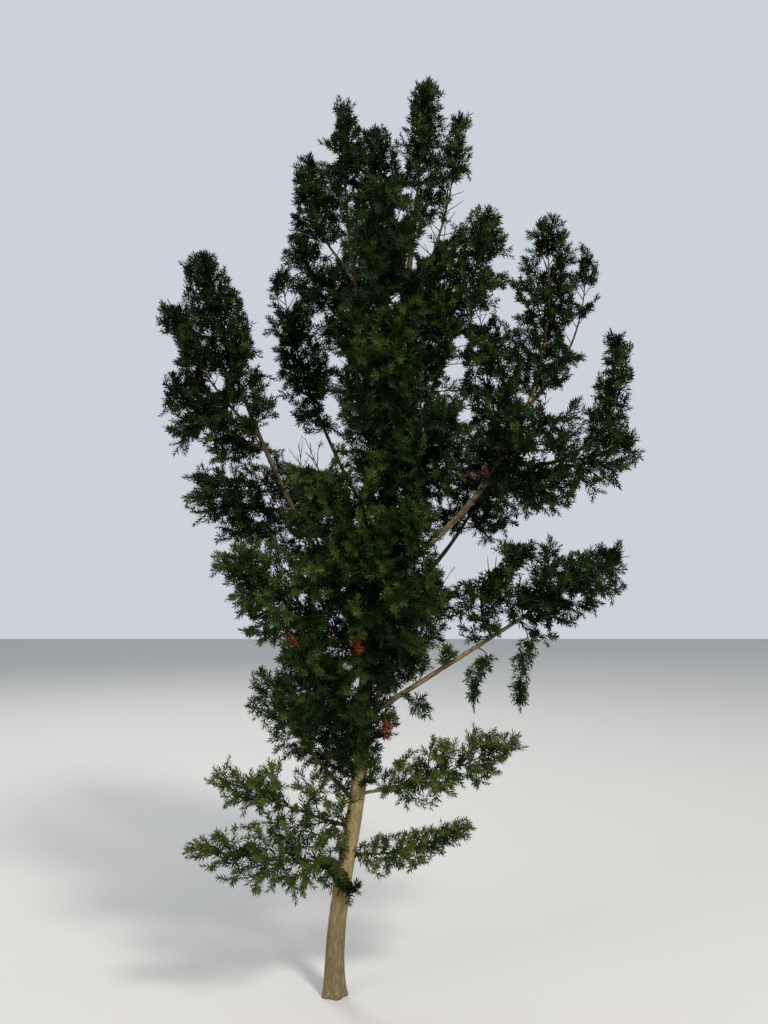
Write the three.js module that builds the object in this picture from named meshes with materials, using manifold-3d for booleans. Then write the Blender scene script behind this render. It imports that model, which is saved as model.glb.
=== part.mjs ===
// A Japanese yew grown as a small woodland tree, 4.5 m tall: a slim leaning trunk with a flared foot,
// ascending boughs, and plumes of dark needles with open gaps between them.
// Millimetres, +Z up. The origin is the middle of the flat cut under the trunk, at ground level.
// A heading is an azimuth and an elevation in degrees: azimuth 0 is +X and 90 is +Y.
import * as THREE from "three";
import { mergeVertices } from "three/addons/utils/BufferGeometryUtils.js";
import Module from "manifold-3d";

const wasm = await Module();
wasm.setup();

// The gap that every solid keeps to its neighbour, how far a spray stays off a limb, and how near two
// vertices lie that are one.
const FIT_GAP = 0.3;
const LIMB_CLEARANCE = 4;
const MERGE = 1e-3;

// Trunk. It leans along +X, wanders a little, and swells into root buttresses at the foot.
const TRUNK = {
  top: 3900,
  lean: 0.103,
  wander: 26,
  wanderFade: 1500,
  wanderPeriod: 1400,
  depthWander: 20,
  depthPeriod: 2600,
  footRadius: 45,
  topRadius: 9,
  taper: 0.8,
  flare: 15,
  flareHeight: 80,
  buttresses: 5,
  buttressDepth: 0.45,
  sides: 14,
  rings: 18,
  ringPacking: 1.6,
};

// Limbs. Each leaves its parent at a height on the trunk, or at a length along a parent limb, and turns
// steadily from its first heading to its last. Its bare length is a bough; the rest is the stem of a mass
// of needles that reaches out to spread on all sides.
const LIMBS = [
  // the top of the crown
  { name: "leader", on: "trunk", at: 3895, azimuth: [0, 0], elevation: [84, 86],
    length: 625, bare: 0, girth: 6.6, spread: 108 },
  { name: "leader_right", on: "trunk", at: 3250, azimuth: [14, 17], elevation: [62, 88],
    length: 1200, bare: 0, girth: 11, spread: 120, sparse: true },
  { name: "leader_left", on: "trunk", at: 3330, azimuth: [180, 150], elevation: [74, 89],
    length: 960, bare: 0, girth: 9, spread: 170 },
  { name: "left_leader", on: "trunk", at: 2600, azimuth: [200, 175], elevation: [73, 91],
    length: 1790, bare: 1120, girth: 15, spread: 118 },
  { name: "crown_left", on: "left_leader", at: 890, azimuth: [168, 140], elevation: [43, 95],
    length: 730, bare: 0, girth: 8, spread: 125 },
  { name: "crown_left_low", on: "left_leader", at: 560, azimuth: [160, 168], elevation: [35, 82],
    length: 680, bare: 0, girth: 9, spread: 180 },
  { name: "crown_inner_left", on: "left_leader", at: 110, azimuth: [205, 190], elevation: [45, 90],
    length: 500, bare: 0, girth: 9, spread: 140 },
  { name: "crown_front", on: "trunk", at: 2790, azimuth: [250, 310], elevation: [44, 96],
    length: 1120, bare: 0, girth: 13, spread: 250 },
  { name: "crown_back", on: "trunk", at: 2700, azimuth: [100, 112], elevation: [44, 88],
    length: 1420, bare: 420, girth: 12, spread: 230 },
  { name: "crown_right", on: "trunk", at: 2950, azimuth: [330, 348], elevation: [58, 86],
    length: 880, bare: 0, girth: 11, spread: 155 },
  // the middle of the crown
  { name: "right_centre", on: "trunk", at: 2300, azimuth: [307, 380], elevation: [58, 78],
    length: 1560, bare: 520, girth: 12, spread: 160 },
  { name: "right_spire", on: "trunk", at: 1930, azimuth: [344, 402], elevation: [30, 100],
    length: 2180, bare: 1250, girth: 17, spread: 165 },
  { name: "right_inner", on: "right_spire", at: 900, azimuth: [140, 175], elevation: [74, 88],
    length: 800, bare: 0, girth: 9, spread: 190 },
  { name: "right_outer", on: "right_spire", at: 1190, azimuth: [35, 8], elevation: [36, 100],
    length: 1010, bare: 0, girth: 10, spread: 80 },
  { name: "right_mid", on: "right_spire", at: 760, azimuth: [298, 344], elevation: [10, 86],
    length: 560, bare: 0, girth: 10, spread: 240 },
  { name: "far_right", on: "right_spire", at: 880, azimuth: [26, -32], elevation: [-18, 116],
    length: 1130, bare: 470, girth: 10, spread: 125 },
  { name: "far_right_pad", on: "far_right", at: 300, azimuth: [320, 350], elevation: [-5, 30],
    length: 420, bare: 0, girth: 7, spread: 195 },
  { name: "right_low", on: "trunk", at: 1280, azimuth: [334, 368], elevation: [32, 33],
    length: 1500, bare: 860, girth: 14, spread: 165 },
  { name: "right_low_inner", on: "right_low", at: 750, azimuth: [4, -12], elevation: [128, -5],
    length: 560, bare: 0, girth: 7, spread: 125 },
  { name: "back_right", on: "trunk", at: 1730, azimuth: [28, 60], elevation: [33, 60],
    length: 1500, bare: 720, girth: 14, spread: 240 },
  { name: "centre_right", on: "trunk", at: 1450, azimuth: [18, 0], elevation: [48, 55],
    length: 720, bare: 0, girth: 11, spread: 160 },
  { name: "centre_low_right", on: "trunk", at: 1350, azimuth: [332, 330], elevation: [50, 40],
    length: 430, bare: 0, girth: 7, spread: 95, sparse: true },
  { name: "left_spire", on: "trunk", at: 1650, azimuth: [200, 160], elevation: [56, 76],
    length: 2120, bare: 1180, girth: 16, spread: 150 },
  { name: "left_tip", on: "left_spire", at: 1130, azimuth: [186, 176], elevation: [42, 70],
    length: 830, bare: 0, girth: 9, spread: 110 },
  { name: "left_outer", on: "left_spire", at: 1060, azimuth: [164, 172], elevation: [20, 56],
    length: 660, bare: 0, girth: 9, spread: 180 },
  { name: "left_low_outer", on: "left_spire", at: 740, azimuth: [160, 180], elevation: [-4, 42],
    length: 550, bare: 0, girth: 9, spread: 235 },
  { name: "left_shoulder", on: "trunk", at: 2150, azimuth: [148, 176], elevation: [54, 82],
    length: 1550, bare: 640, girth: 11, spread: 130 },
  { name: "front_left_upper", on: "trunk", at: 1750, azimuth: [266, 206], elevation: [46, 64],
    length: 1000, bare: 0, girth: 14, spread: 230 },
  { name: "front_left", on: "trunk", at: 1500, azimuth: [252, 190], elevation: [38, 24],
    length: 1010, bare: 0, girth: 13, spread: 235 },
  { name: "front_centre", on: "trunk", at: 1600, azimuth: [284, 292], elevation: [18, 80],
    length: 960, bare: 0, girth: 12, spread: 220 },
  { name: "front_right", on: "trunk", at: 2150, azimuth: [280, 330], elevation: [30, 52],
    length: 880, bare: 0, girth: 12, spread: 200 },
  { name: "front_upper", on: "trunk", at: 2420, azimuth: [262, 275], elevation: [30, 86],
    length: 900, bare: 0, girth: 11, spread: 200 },
  { name: "back_left", on: "trunk", at: 1600, azimuth: [112, 130], elevation: [24, 82],
    length: 1500, bare: 520, girth: 14, spread: 250 },
  { name: "back_mid", on: "trunk", at: 2050, azimuth: [82, 70], elevation: [26, 88],
    length: 1480, bare: 480, girth: 13, spread: 240 },
  { name: "back_low", on: "trunk", at: 1300, azimuth: [84, 78], elevation: [20, 82],
    length: 1330, bare: 460, girth: 14, spread: 240 },
  // the foot of the crown
  { name: "left_low", on: "trunk", at: 1150, azimuth: [250, 205], elevation: [38, 52],
    length: 730, bare: 0, girth: 13, spread: 210 },
  { name: "low_left", on: "trunk", at: 880, azimuth: [204, 190], elevation: [44, 64],
    length: 800, bare: 330, girth: 12, spread: 140 },
  { name: "back_left_low", on: "trunk", at: 1000, azimuth: [116, 134], elevation: [20, 72],
    length: 920, bare: 0, girth: 12, spread: 190 },
  { name: "skirt_left", on: "trunk", at: 760, azimuth: [223, 190], elevation: [21, 27],
    length: 750, bare: 0, girth: 9, spread: 195, sparse: true },
  { name: "skirt_front", on: "trunk", at: 600, azimuth: [240, 187], elevation: [14, 12],
    length: 840, bare: 0, girth: 8, spread: 165, sparse: true },
  { name: "skirt_right", on: "trunk", at: 920, azimuth: [330, 360], elevation: [12, 30],
    length: 850, bare: 130, girth: 8.5, spread: 135, sparse: true },
  { name: "low_right", on: "trunk", at: 640, azimuth: [340, 350], elevation: [0, 34],
    length: 630, bare: 0, girth: 6, spread: 85, sparse: true },
  { name: "trunk_front", on: "trunk", at: 1050, azimuth: [258, 240], elevation: [34, 66],
    length: 420, bare: 0, girth: 7, spread: 130 },
  { name: "right_under", on: "right_spire", at: 790, azimuth: [322, 350], elevation: [-28, 12],
    length: 420, bare: 0, girth: 7, spread: 140 },
];

// Every limb's shape: how thin it gets, its collar on the parent, and its faces.
const LIMB = {
  tipShare: 0.34,
  collarSwell: 0.4,
  steps: 48,
  boughSides: 6,
  boughRing: 200,
  stemSides: 3,
  stemRing: 190,
};

// How far apart the balls lie that stand for the wood when needles are grown past it.
const WOOD_SPACING = { trunk: 20, limb: 12 };

// The room of a mass about its stem: a row of balls, narrower at both ends and fullest part of the way
// along. A point is the mass's own unless it lies nearer to another room by more than the boundary.
const ROOM = {
  rootShare: 0.7,
  tipShare: 0.45,
  fullest: 0.45,
  blunt: 2,
  samples: 16,
  boundary: -0.22,
  fringe: 1.14,
};

// The core of a wide, dense mass: a lumpy spindle round the stem, a share of the room across.
const CORE = {
  leastSpread: 228,
  share: 0.22,
  lump: 0.5,
  sides: 6,
  ring: 230,
  from: 0.1,
  endShare: 0.45,
  least: 14,
  shrink: 0.8,
  tries: [1, 0.8, 0.6, 0.4],
};

// Sprays stand round the stem by the golden angle, evenly spaced. Each is rooted deep in the core or in the
// stem itself, or stands on a twig of its own where the mass is sparse. The last three numbers say how far
// out its root lies, as a share of the mass's reach there.
const TWIG = {
  golden: 137.5,
  pitchLow: 60,
  pitchHigh: 24,
  jitter: 12,
  stagger: 0.3,
  from: 0.06,
  fewest: 4,
  radius: 6,
  sides: 3,
  lift: 0.1,
  tries: 5,
  turn: 50,
  spacing: 77,
  sparseSpacing: 158,
  coreRoot: 0.14,
  stemRoot: 0.02,
  twigRoot: 0.26,
};

// A spray of needles: a long flat blade with a toothed edge, swollen along its middle.
const SPRAY = {
  most: 480,
  least: 80,
  width: 0.8,
  thickness: 0.03,
  rim: 8,
  notch: 0.5,
  forward: 0.3,
  sunk: 12,
  roll: 50,
  sizes: [1, 0.9, 0.8, 0.7, 0.6],
  step: 10,
};

const COLOURS = {
  trunk: { color: 0x8a7b60, roughness: 0.95, metalness: 0 },
  bough: { color: 0x7d6b51, roughness: 0.95, metalness: 0 },
  needles: { color: 0x1f3a1c, roughness: 0.6, metalness: 0 },
};

// The seeded stream's numbers: a prime modulus, its multiplier, and what spreads the seeds apart.
const STREAM = { modulus: 2147483647, multiplier: 16807, seedStep: 7919 };

const UP = new THREE.Vector3(0, 0, 1);
const ALONG_X = new THREE.Vector3(1, 0, 0);
const ALONG_Y = new THREE.Vector3(0, 1, 0);
const radians = THREE.MathUtils.degToRad;
const mix = THREE.MathUtils.lerp;

// A line whose direction has more than this much of up in it is steep, and a side that is shorter than
// LEVEL_LEAST gives no level direction.
const STEEP = 0.9;
const LEVEL_LEAST = 0.05;

// A seeded stream of numbers from 0 to 1, the same in every language.
function seededStream(seed) {
  let state = (seed * STREAM.seedStep) % STREAM.modulus;
  return () => {
    state = (state * STREAM.multiplier) % STREAM.modulus;
    return state / STREAM.modulus;
  };
}

function headingVector(azimuth, elevation) {
  const a = radians(azimuth);
  const e = radians(elevation);
  return new THREE.Vector3(Math.cos(e) * Math.cos(a), Math.cos(e) * Math.sin(a), Math.sin(e));
}

function trunkAxis(z) {
  const fade = Math.exp(-z / TRUNK.wanderFade);
  const wander = TRUNK.wander * fade * Math.sin((2 * Math.PI * z) / TRUNK.wanderPeriod);
  const depth = TRUNK.depthWander * Math.sin((2 * Math.PI * z) / TRUNK.depthPeriod);
  return new THREE.Vector3(TRUNK.lean * z - wander, depth, z);
}

function trunkRadius(z, angle = 0) {
  const taper = mix(TRUNK.topRadius, TRUNK.footRadius, Math.pow(1 - z / TRUNK.top, TRUNK.taper));
  const fold = 1 + TRUNK.buttressDepth * Math.cos(TRUNK.buttresses * angle);
  return taper + TRUNK.flare * fold * Math.exp(-z / TRUNK.flareHeight);
}

// A limb as a line that can be asked for its point, direction and radius at any length along it.
class LimbLine {
  constructor(spec, start) {
    this.spec = spec;
    this.points = [start];
    const step = spec.length / LIMB.steps;
    for (let i = 0; i < LIMB.steps; i++) {
      const heading = this.direction((i + 0.5) * step);
      this.points.push(this.points[i].clone().addScaledVector(heading, step));
    }
  }
  direction(along) {
    const { azimuth, elevation, length } = this.spec;
    const t = along / length;
    return headingVector(mix(...azimuth, t), mix(...elevation, t));
  }
  point(along) {
    const place = THREE.MathUtils.clamp(along / this.spec.length, 0, 1) * LIMB.steps;
    const i = Math.min(Math.floor(place), LIMB.steps - 1);
    return this.points[i].clone().lerp(this.points[i + 1], place - i);
  }
  radius(along) {
    const { girth, length } = this.spec;
    const taper = girth * mix(1, LIMB.tipShare, along / length);
    return taper + girth * LIMB.collarSwell * Math.exp(-along / (2 * girth));
  }
}

// The two directions across a line, carried along it without twisting.
function across(direction, previous) {
  const side = previous.clone().addScaledVector(direction, -previous.dot(direction)).normalize();
  return [side, direction.clone().cross(side)];
}

// A closed tube: a cylinder whose rings are laid along the line from one length to another. Its corners stand
// off the line by what reach gives for a length, a corner's number and the way out to it.
function tube(line, from, to, sides, rings, reach) {
  const geometry = new THREE.CylinderGeometry(1, 1, 1, sides, rings);
  const place = geometry.getAttribute("position");
  let side = Math.abs(line.direction(from).z) > STEEP ? ALONG_X : UP;
  const frames = [];
  for (let ring = 0; ring <= rings; ring++) {
    const along = mix(from, to, ring / rings);
    const [u, v] = across(line.direction(along), side);
    side = u;
    frames.push({ along, middle: line.point(along), u, v });
  }
  for (let i = 0; i < place.count; i++) {
    const { along, middle, u, v } = frames[Math.round((place.getY(i) + 0.5) * rings)];
    const outward = u.clone().multiplyScalar(place.getZ(i)).addScaledVector(v, place.getX(i));
    if (outward.length() > 0.5) {
      const turn = Math.atan2(place.getX(i), place.getZ(i)) / (2 * Math.PI);
      const corner = Math.round((turn + 1) * sides) % sides;
      outward.multiplyScalar(reach(along, corner, outward.clone()));
    }
    const vertex = middle.clone().add(outward);
    place.setXYZ(i, vertex.x, vertex.y, vertex.z);
  }
  return geometry;
}

// The trunk, made thicker and taller by grow. Its rings crowd towards the foot.
function trunkTube(grow = 0) {
  const geometry = new THREE.CylinderGeometry(1, 1, 1, TRUNK.sides, TRUNK.rings);
  const place = geometry.getAttribute("position");
  for (let i = 0; i < place.count; i++) {
    const share = place.getY(i) + 0.5;
    const z = TRUNK.top * Math.pow(share, TRUNK.ringPacking);
    const reach = Math.hypot(place.getX(i), place.getZ(i));
    const angle = Math.atan2(place.getX(i), place.getZ(i));
    const radius = reach * (trunkRadius(z, angle) + grow);
    const middle = trunkAxis(z);
    const height = share === 1 ? z + grow : z;
    place.setXYZ(i, middle.x + radius * Math.cos(angle), middle.y + radius * Math.sin(angle), height);
  }
  return geometry;
}

function solid(geometry) {
  geometry.deleteAttribute("normal");
  geometry.deleteAttribute("uv");
  const merged = mergeVertices(geometry, MERGE);
  const mesh = new wasm.Mesh({
    numProp: 3,
    vertProperties: merged.getAttribute("position").array,
    triVerts: new Uint32Array(merged.index.array),
  });
  return new wasm.Manifold(mesh);
}

function largestPiece(body) {
  return body.decompose().reduce((best, piece) => (piece.volume() > best.volume() ? piece : best));
}

function geometryOf(body) {
  const mesh = body.getMesh();
  const geometry = new THREE.BufferGeometry();
  const places = new Float32Array(mesh.vertProperties);
  geometry.setAttribute("position", new THREE.BufferAttribute(places, 3));
  geometry.setIndex(new THREE.BufferAttribute(new Uint32Array(mesh.triVerts), 1));
  return geometry;
}

// Lines of all the limbs, parents first.
const trunkLine = {
  point: trunkAxis,
  radius: trunkRadius,
  direction: (z) => trunkAxis(z + 1).sub(trunkAxis(z)).normalize(),
};
const lines = new Map([["trunk", trunkLine]]);
for (const spec of LIMBS) {
  lines.set(spec.name, new LimbLine(spec, lines.get(spec.on).point(spec.at)));
}

// Woody stretches as rows of balls, so that nothing is grown through one.
function woodSamples(name, line, from, to, spacing) {
  const count = Math.ceil((to - from) / spacing);
  return Array.from({ length: count + 1 }, (_, i) => {
    const along = mix(from, to, i / count);
    return { name, middle: line.point(along), radius: line.radius(along) };
  });
}
const wood = woodSamples("trunk", trunkLine, 0, TRUNK.top, WOOD_SPACING.trunk);
for (const spec of LIMBS) {
  const line = lines.get(spec.name);
  const bough = `${spec.name}_bough`;
  if (spec.bare) wood.push(...woodSamples(bough, line, 0, spec.bare, WOOD_SPACING.limb));
  wood.push(...woodSamples(spec.name, line, spec.bare, stemEnd(spec), WOOD_SPACING.limb));
}

// The stem ends inside the last spray, which reaches on to the limb's tip.
function stemEnd(spec) {
  return spec.length - THREE.MathUtils.clamp(spec.spread, SPRAY.least, SPRAY.most);
}

// The share of its spread that a mass fills at a point t of its length.
function fullness(t) {
  if (t < ROOM.fullest) return mix(ROOM.rootShare, 1, Math.sin((Math.PI / 2) * (t / ROOM.fullest)));
  return 1 - (1 - ROOM.tipShare) * Math.pow((t - ROOM.fullest) / (1 - ROOM.fullest), ROOM.blunt);
}

const rooms = LIMBS.map((spec) => {
  const line = lines.get(spec.name);
  const balls = Array.from({ length: ROOM.samples }, (_, i) => {
    const t = i / (ROOM.samples - 1);
    const middle = line.point(mix(spec.bare, spec.length - ROOM.tipShare * spec.spread, t));
    return { middle, radius: spec.spread * fullness(t) };
  });
  return { name: spec.name, balls };
});

function crowding(room, point) {
  let nearest = Infinity;
  for (const ball of room.balls) {
    nearest = Math.min(nearest, point.distanceTo(ball.middle) / ball.radius);
  }
  return nearest;
}

// True if all the points lie in the mass's own room, and clear of every limb but its own stem.
function keepsToRoom(name, points, edge = 1) {
  const own = rooms.find((room) => room.name === name);
  return points.every((point) => {
    const share = crowding(own, point);
    if (share > edge) return false;
    const nearest = share + ROOM.boundary;
    if (rooms.some((room) => room !== own && crowding(room, point) < nearest)) return false;
    return !wood.some((ball) => ball.name !== name
      && point.distanceTo(ball.middle) < ball.radius + LIMB_CLEARANCE);
  });
}

// How far one can go from a point along a heading before the mass's room ends.
function roomAhead(name, from, heading) {
  const point = from.clone().addScaledVector(heading, SPRAY.step);
  let length = 0;
  while (length < SPRAY.most && keepsToRoom(name, [point])) {
    length += SPRAY.step;
    point.addScaledVector(heading, SPRAY.step);
  }
  return length;
}

// The toothed blade: a flattened double cone whose rim is drawn out into a tip, a root and forward teeth.
// Its root, the way it points and the direction of its width are given.
function sprayBlade(root, axis, side, length) {
  const geometry = new THREE.SphereGeometry(1, SPRAY.rim, 2);
  const place = geometry.getAttribute("position");
  const normal = axis.clone().cross(side);
  const outline = [];
  for (let i = 0; i < place.count; i++) {
    const pole = Math.abs(place.getY(i)) > 0.5;
    const turn = Math.atan2(place.getZ(i), place.getX(i));
    const toothed = Math.round((Math.abs(turn) / (2 * Math.PI)) * SPRAY.rim) % 2 === 0;
    const reach = pole ? 0 : toothed ? 1 : SPRAY.notch;
    const forward = toothed && !pole ? SPRAY.forward * Math.sin(turn) ** 2 : 0;
    const vertex = root.clone()
      .addScaledVector(axis, (length / 2) * (1 + reach * Math.cos(turn) + forward))
      .addScaledVector(side, (length / 2) * SPRAY.width * reach * Math.sin(turn))
      .addScaledVector(normal, pole ? (-place.getY(i) * length * SPRAY.thickness) / 2 : 0);
    place.setXYZ(i, vertex.x, vertex.y, vertex.z);
    outline.push(vertex);
  }
  return { geometry, outline };
}

// A side direction for a blade, turned about its axis away from level.
function sideways(axis, roll) {
  const level = axis.clone().cross(UP);
  if (level.length() < LEVEL_LEAST) level.copy(ALONG_X);
  return level.normalize().applyAxisAngle(axis, radians(roll));
}

// The side direction of a blade that stands like a fin on a stem, turned a little about its axis.
function finSide(axis, forward, roll) {
  const side = forward.clone().addScaledVector(axis, -forward.dot(axis));
  return side.normalize().applyAxisAngle(axis, radians(roll));
}

// A straight twig: a three-sided cone from the stem to a point inside its spray.
function twigCone(root, tip) {
  const heading = tip.clone().sub(root);
  const length = heading.length();
  const geometry = new THREE.ConeGeometry(TWIG.radius, length, TWIG.sides);
  geometry.translate(0, length / 2, 0);
  geometry.applyQuaternion(new THREE.Quaternion().setFromUnitVectors(ALONG_Y, heading.normalize()));
  return geometry.translate(root.x, root.y, root.z);
}

// The core: a tube along the stem whose every corner stands out by its own amount, drawn in where a limb
// or another mass is near.
function coreTube(spec, line, from, to, size, random) {
  const rings = Math.max(3, Math.round((to - from) / CORE.ring));
  const corners = new Map();
  const reach = (along, corner, outward) => {
    const key = `${along.toFixed(1)} ${corner}`;
    if (!corners.has(key)) {
      const t = (along - spec.bare) / (spec.length - spec.bare);
      const end = along === from || along === to ? CORE.endShare : 1;
      const lump = 1 + CORE.lump * (2 * random() - 1);
      const edge = (radius) => line.point(along).addScaledVector(outward, radius);
      let radius = size * spec.spread * fullness(t) * CORE.share * end * lump;
      while (radius > CORE.least && !keepsToRoom(spec.name, [edge(radius)])) radius *= CORE.shrink;
      corners.set(key, Math.max(radius, CORE.least));
    }
    return corners.get(key);
  };
  return tube(line, from, to, CORE.sides, rings, reach);
}

// The stem of a mass, from its bough's tip or from inside the parent that it stands on.
function stemBody(spec) {
  const line = lines.get(spec.name);
  const from = spec.bare ? spec.bare + FIT_GAP : 0;
  const to = stemEnd(spec);
  const rings = Math.max(2, Math.round((to - spec.bare) / LIMB.stemRing));
  return solid(tube(line, from, to, LIMB.stemSides, rings, (along) => line.radius(along)));
}

// One mass of needles: its stem, its twigs, and the sprays on them, joined into one body.
function growMass(spec, seed) {
  const random = seededStream(seed);
  const line = lines.get(spec.name);
  const to = stemEnd(spec);
  const leafy = to - spec.bare;
  const parts = [stems.get(spec.name)];

  // A part joins the mass only where it stands clear of all that has been grown.
  const joinIfClear = (geometry) => {
    const part = solid(geometry);
    if (!isClear(part, spec.name)) return false;
    parts.push(part);
    return true;
  };
  const coreFrom = spec.bare + CORE.from * leafy;
  const hasCore = !spec.sparse && spec.spread >= CORE.leastSpread
    && CORE.tries.some((size) => joinIfClear(coreTube(spec, line, coreFrom, to, size, random)));

  const spray = (root, axis, forward) => {
    const length = roomAhead(spec.name, root, axis);
    return SPRAY.sizes.some((size) => {
      if (length * size < SPRAY.least) return false;
      const side = finSide(axis, forward, (random() * 2 - 1) * SPRAY.roll);
      const blade = sprayBlade(root, axis, side, length * size);
      return keepsToRoom(spec.name, blade.outline, ROOM.fringe) && joinIfClear(blade.geometry);
    });
  };
  const rootShare = spec.sparse ? TWIG.twigRoot : hasCore ? TWIG.coreRoot : TWIG.stemRoot;
  const growTwig = (along, outward, pitch) => {
    const forward = line.direction(along);
    const heading = forward.clone().multiplyScalar(Math.cos(pitch));
    heading.addScaledVector(outward, Math.sin(pitch));
    const reach = spec.spread * fullness((along - spec.bare) / (spec.length - spec.bare));
    const root = line.point(along);
    const tip = root.clone().addScaledVector(heading, (reach * rootShare) / Math.sin(pitch));
    const lifted = heading.clone().addScaledVector(UP, TWIG.lift).normalize();
    if (!spray(tip.clone().addScaledVector(lifted, -SPRAY.sunk), lifted, forward)) return false;
    if (spec.sparse && !joinIfClear(twigCone(root, tip))) parts.pop();
    return true;
  };

  const spacing = spec.sparse ? TWIG.sparseSpacing : TWIG.spacing;
  const count = Math.max(TWIG.fewest, Math.round(leafy / spacing));
  for (let i = 0; i < count; i++) {
    const t = (i + 0.5 + TWIG.stagger * (random() - 0.5)) / count;
    const along = mix(spec.bare + TWIG.from * leafy, to, t);
    const pitch = radians(mix(TWIG.pitchLow, TWIG.pitchHigh, t) + TWIG.jitter * (random() - 0.5));
    for (let attempt = 0; attempt < TWIG.tries; attempt++) {
      const turn = TWIG.golden * (i + seed) + TWIG.turn * attempt;
      if (growTwig(along, sideways(line.direction(along), turn), pitch)) break;
    }
  }
  spray(line.point(to - SPRAY.sunk), line.direction(to), sideways(line.direction(to), 90 * random()));
  return parts.reduce((all, part) => all.add(part));
}

// A named mesh of a joined body, in one of the finishes.
function meshOf(name, body, finish) {
  const mesh = new THREE.Mesh(geometryOf(body), new THREE.MeshStandardMaterial(COLOURS[finish]));
  mesh.name = name;
  return mesh;
}

// The bare stretch of a limb, made thicker by grow.
function boughBody(name, grow = 0) {
  const line = lines.get(name);
  const { bare } = line.spec;
  const rings = Math.max(2, Math.round(bare / LIMB.boughRing));
  return solid(tube(line, 0, bare, LIMB.boughSides, rings, (along) => line.radius(along) + grow));
}

// A limb's wood made thicker, to cut a child's foot to it and to keep sprays off it.
function grownWood(name, grow) {
  return name === "trunk" ? solid(trunkTube(grow)) : boughBody(name, grow);
}

// The trunk and the boughs, each bough's foot cut to its parent.
const tree = new THREE.Group();
tree.name = "japanese_yew";
const trunk = solid(trunkTube());
const standing = [trunk];
tree.add(meshOf("trunk", trunk, "trunk"));
const cutters = new Map([["trunk", grownWood("trunk", FIT_GAP)]]);
for (const spec of LIMBS.filter(({ bare }) => bare > 0)) {
  const bough = largestPiece(boughBody(spec.name).subtract(cutters.get(spec.on)));
  cutters.set(spec.name, grownWood(spec.name, FIT_GAP));
  standing.push(bough);
  tree.add(meshOf(`${spec.name}_bough`, bough, "bough"));
}

const stems = new Map(LIMBS.map((spec) => [spec.name, stemBody(spec)]));

// True if a mass's part keeps the gap to all that stands already, and to the stems of the other masses.
function isClear(part, name) {
  const box = part.boundingBox();
  const others = [...stems].filter(([owner]) => owner !== name).map(([, stem]) => stem);
  return ![...standing, ...others].some((other) => {
    const near = other.boundingBox();
    const past = (k) => near.min[k] > box.max[k] + FIT_GAP || box.min[k] > near.max[k] + FIT_GAP;
    return ![0, 1, 2].some(past) && part.minGap(other, 2 * FIT_GAP) < FIT_GAP;
  });
}

// The masses, each grown clear of all before it.
LIMBS.forEach((spec, index) => {
  let mass = growMass(spec, index + 1);
  if (!spec.bare) mass = mass.subtract(cutters.get(spec.on));
  mass = largestPiece(mass);
  standing.push(mass);
  tree.add(meshOf(`${spec.name}_needles`, mass, "needles"));
});

export default tree;
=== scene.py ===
"""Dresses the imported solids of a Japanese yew.

Bark with its relief stands for the trunk and the boughs. Twigs and needles grow on from the limbs by the
rule of the solids, carried to finer twigs. Metres, +Z up. The origin is the middle of the flat cut under
the trunk, at ground level, and -Y is the side that the camera sees.
"""
import logging
import math
from dataclasses import dataclass, field, replace
from enum import Enum

import bpy
import numpy as np
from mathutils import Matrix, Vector, kdtree, noise


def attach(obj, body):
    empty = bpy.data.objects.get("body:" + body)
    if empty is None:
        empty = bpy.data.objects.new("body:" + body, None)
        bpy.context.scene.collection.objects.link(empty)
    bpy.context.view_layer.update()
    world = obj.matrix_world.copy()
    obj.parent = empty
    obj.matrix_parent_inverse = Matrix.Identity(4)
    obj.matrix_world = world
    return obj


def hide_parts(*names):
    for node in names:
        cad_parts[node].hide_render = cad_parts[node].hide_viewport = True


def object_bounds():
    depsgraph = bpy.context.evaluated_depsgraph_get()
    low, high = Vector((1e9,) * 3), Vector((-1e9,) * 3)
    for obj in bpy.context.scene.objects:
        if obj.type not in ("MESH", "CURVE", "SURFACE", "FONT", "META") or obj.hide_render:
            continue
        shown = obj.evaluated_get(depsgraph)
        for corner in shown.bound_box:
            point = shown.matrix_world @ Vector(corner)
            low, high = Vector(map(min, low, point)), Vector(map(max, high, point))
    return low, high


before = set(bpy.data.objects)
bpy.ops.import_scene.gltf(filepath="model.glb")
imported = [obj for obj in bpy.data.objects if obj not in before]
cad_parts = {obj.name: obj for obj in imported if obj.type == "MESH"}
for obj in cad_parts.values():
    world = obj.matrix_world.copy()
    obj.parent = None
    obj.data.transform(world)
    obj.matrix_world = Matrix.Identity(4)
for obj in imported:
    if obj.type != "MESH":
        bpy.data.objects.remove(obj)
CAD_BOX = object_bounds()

LOG = logging.getLogger("yew")

UP = np.array((0.0, 0.0, 1.0))
ALONG_X = np.array((1.0, 0.0, 0.0))
# An axis whose level part is shorter than this counts as upright.
LEAST_LEVEL = 0.05
TINY = 1e-9
GOLDEN_ANGLE = 137.5
ROOT_BODY = "root"


class Region(Enum):
    """The part of the crown that a limb's twigs and needles are joined into."""

    TOP = "top"
    RIGHT = "right"
    RIGHT_FOOT = "right_foot"
    LEFT = "left"
    FRONT = "front"
    BACK = "back"
    LEFT_FOOT = "left_foot"


class Tone(Enum):
    """The colour of a spray of needles. From SHADE to OLIVE the tones grow brighter: painted shade and
    painted sun, with some random spread. DEAD is the real rust brown of dead sprays.
    """

    SHADE = 0
    DEEP = 1
    GREEN = 2
    FRESH = 3
    OLIVE = 4
    DEAD = 5


class Wood(Enum):
    """The colour of a twig's bark, by its age."""

    OLD = 0
    BROWN = 1
    GREEN = 2


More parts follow.
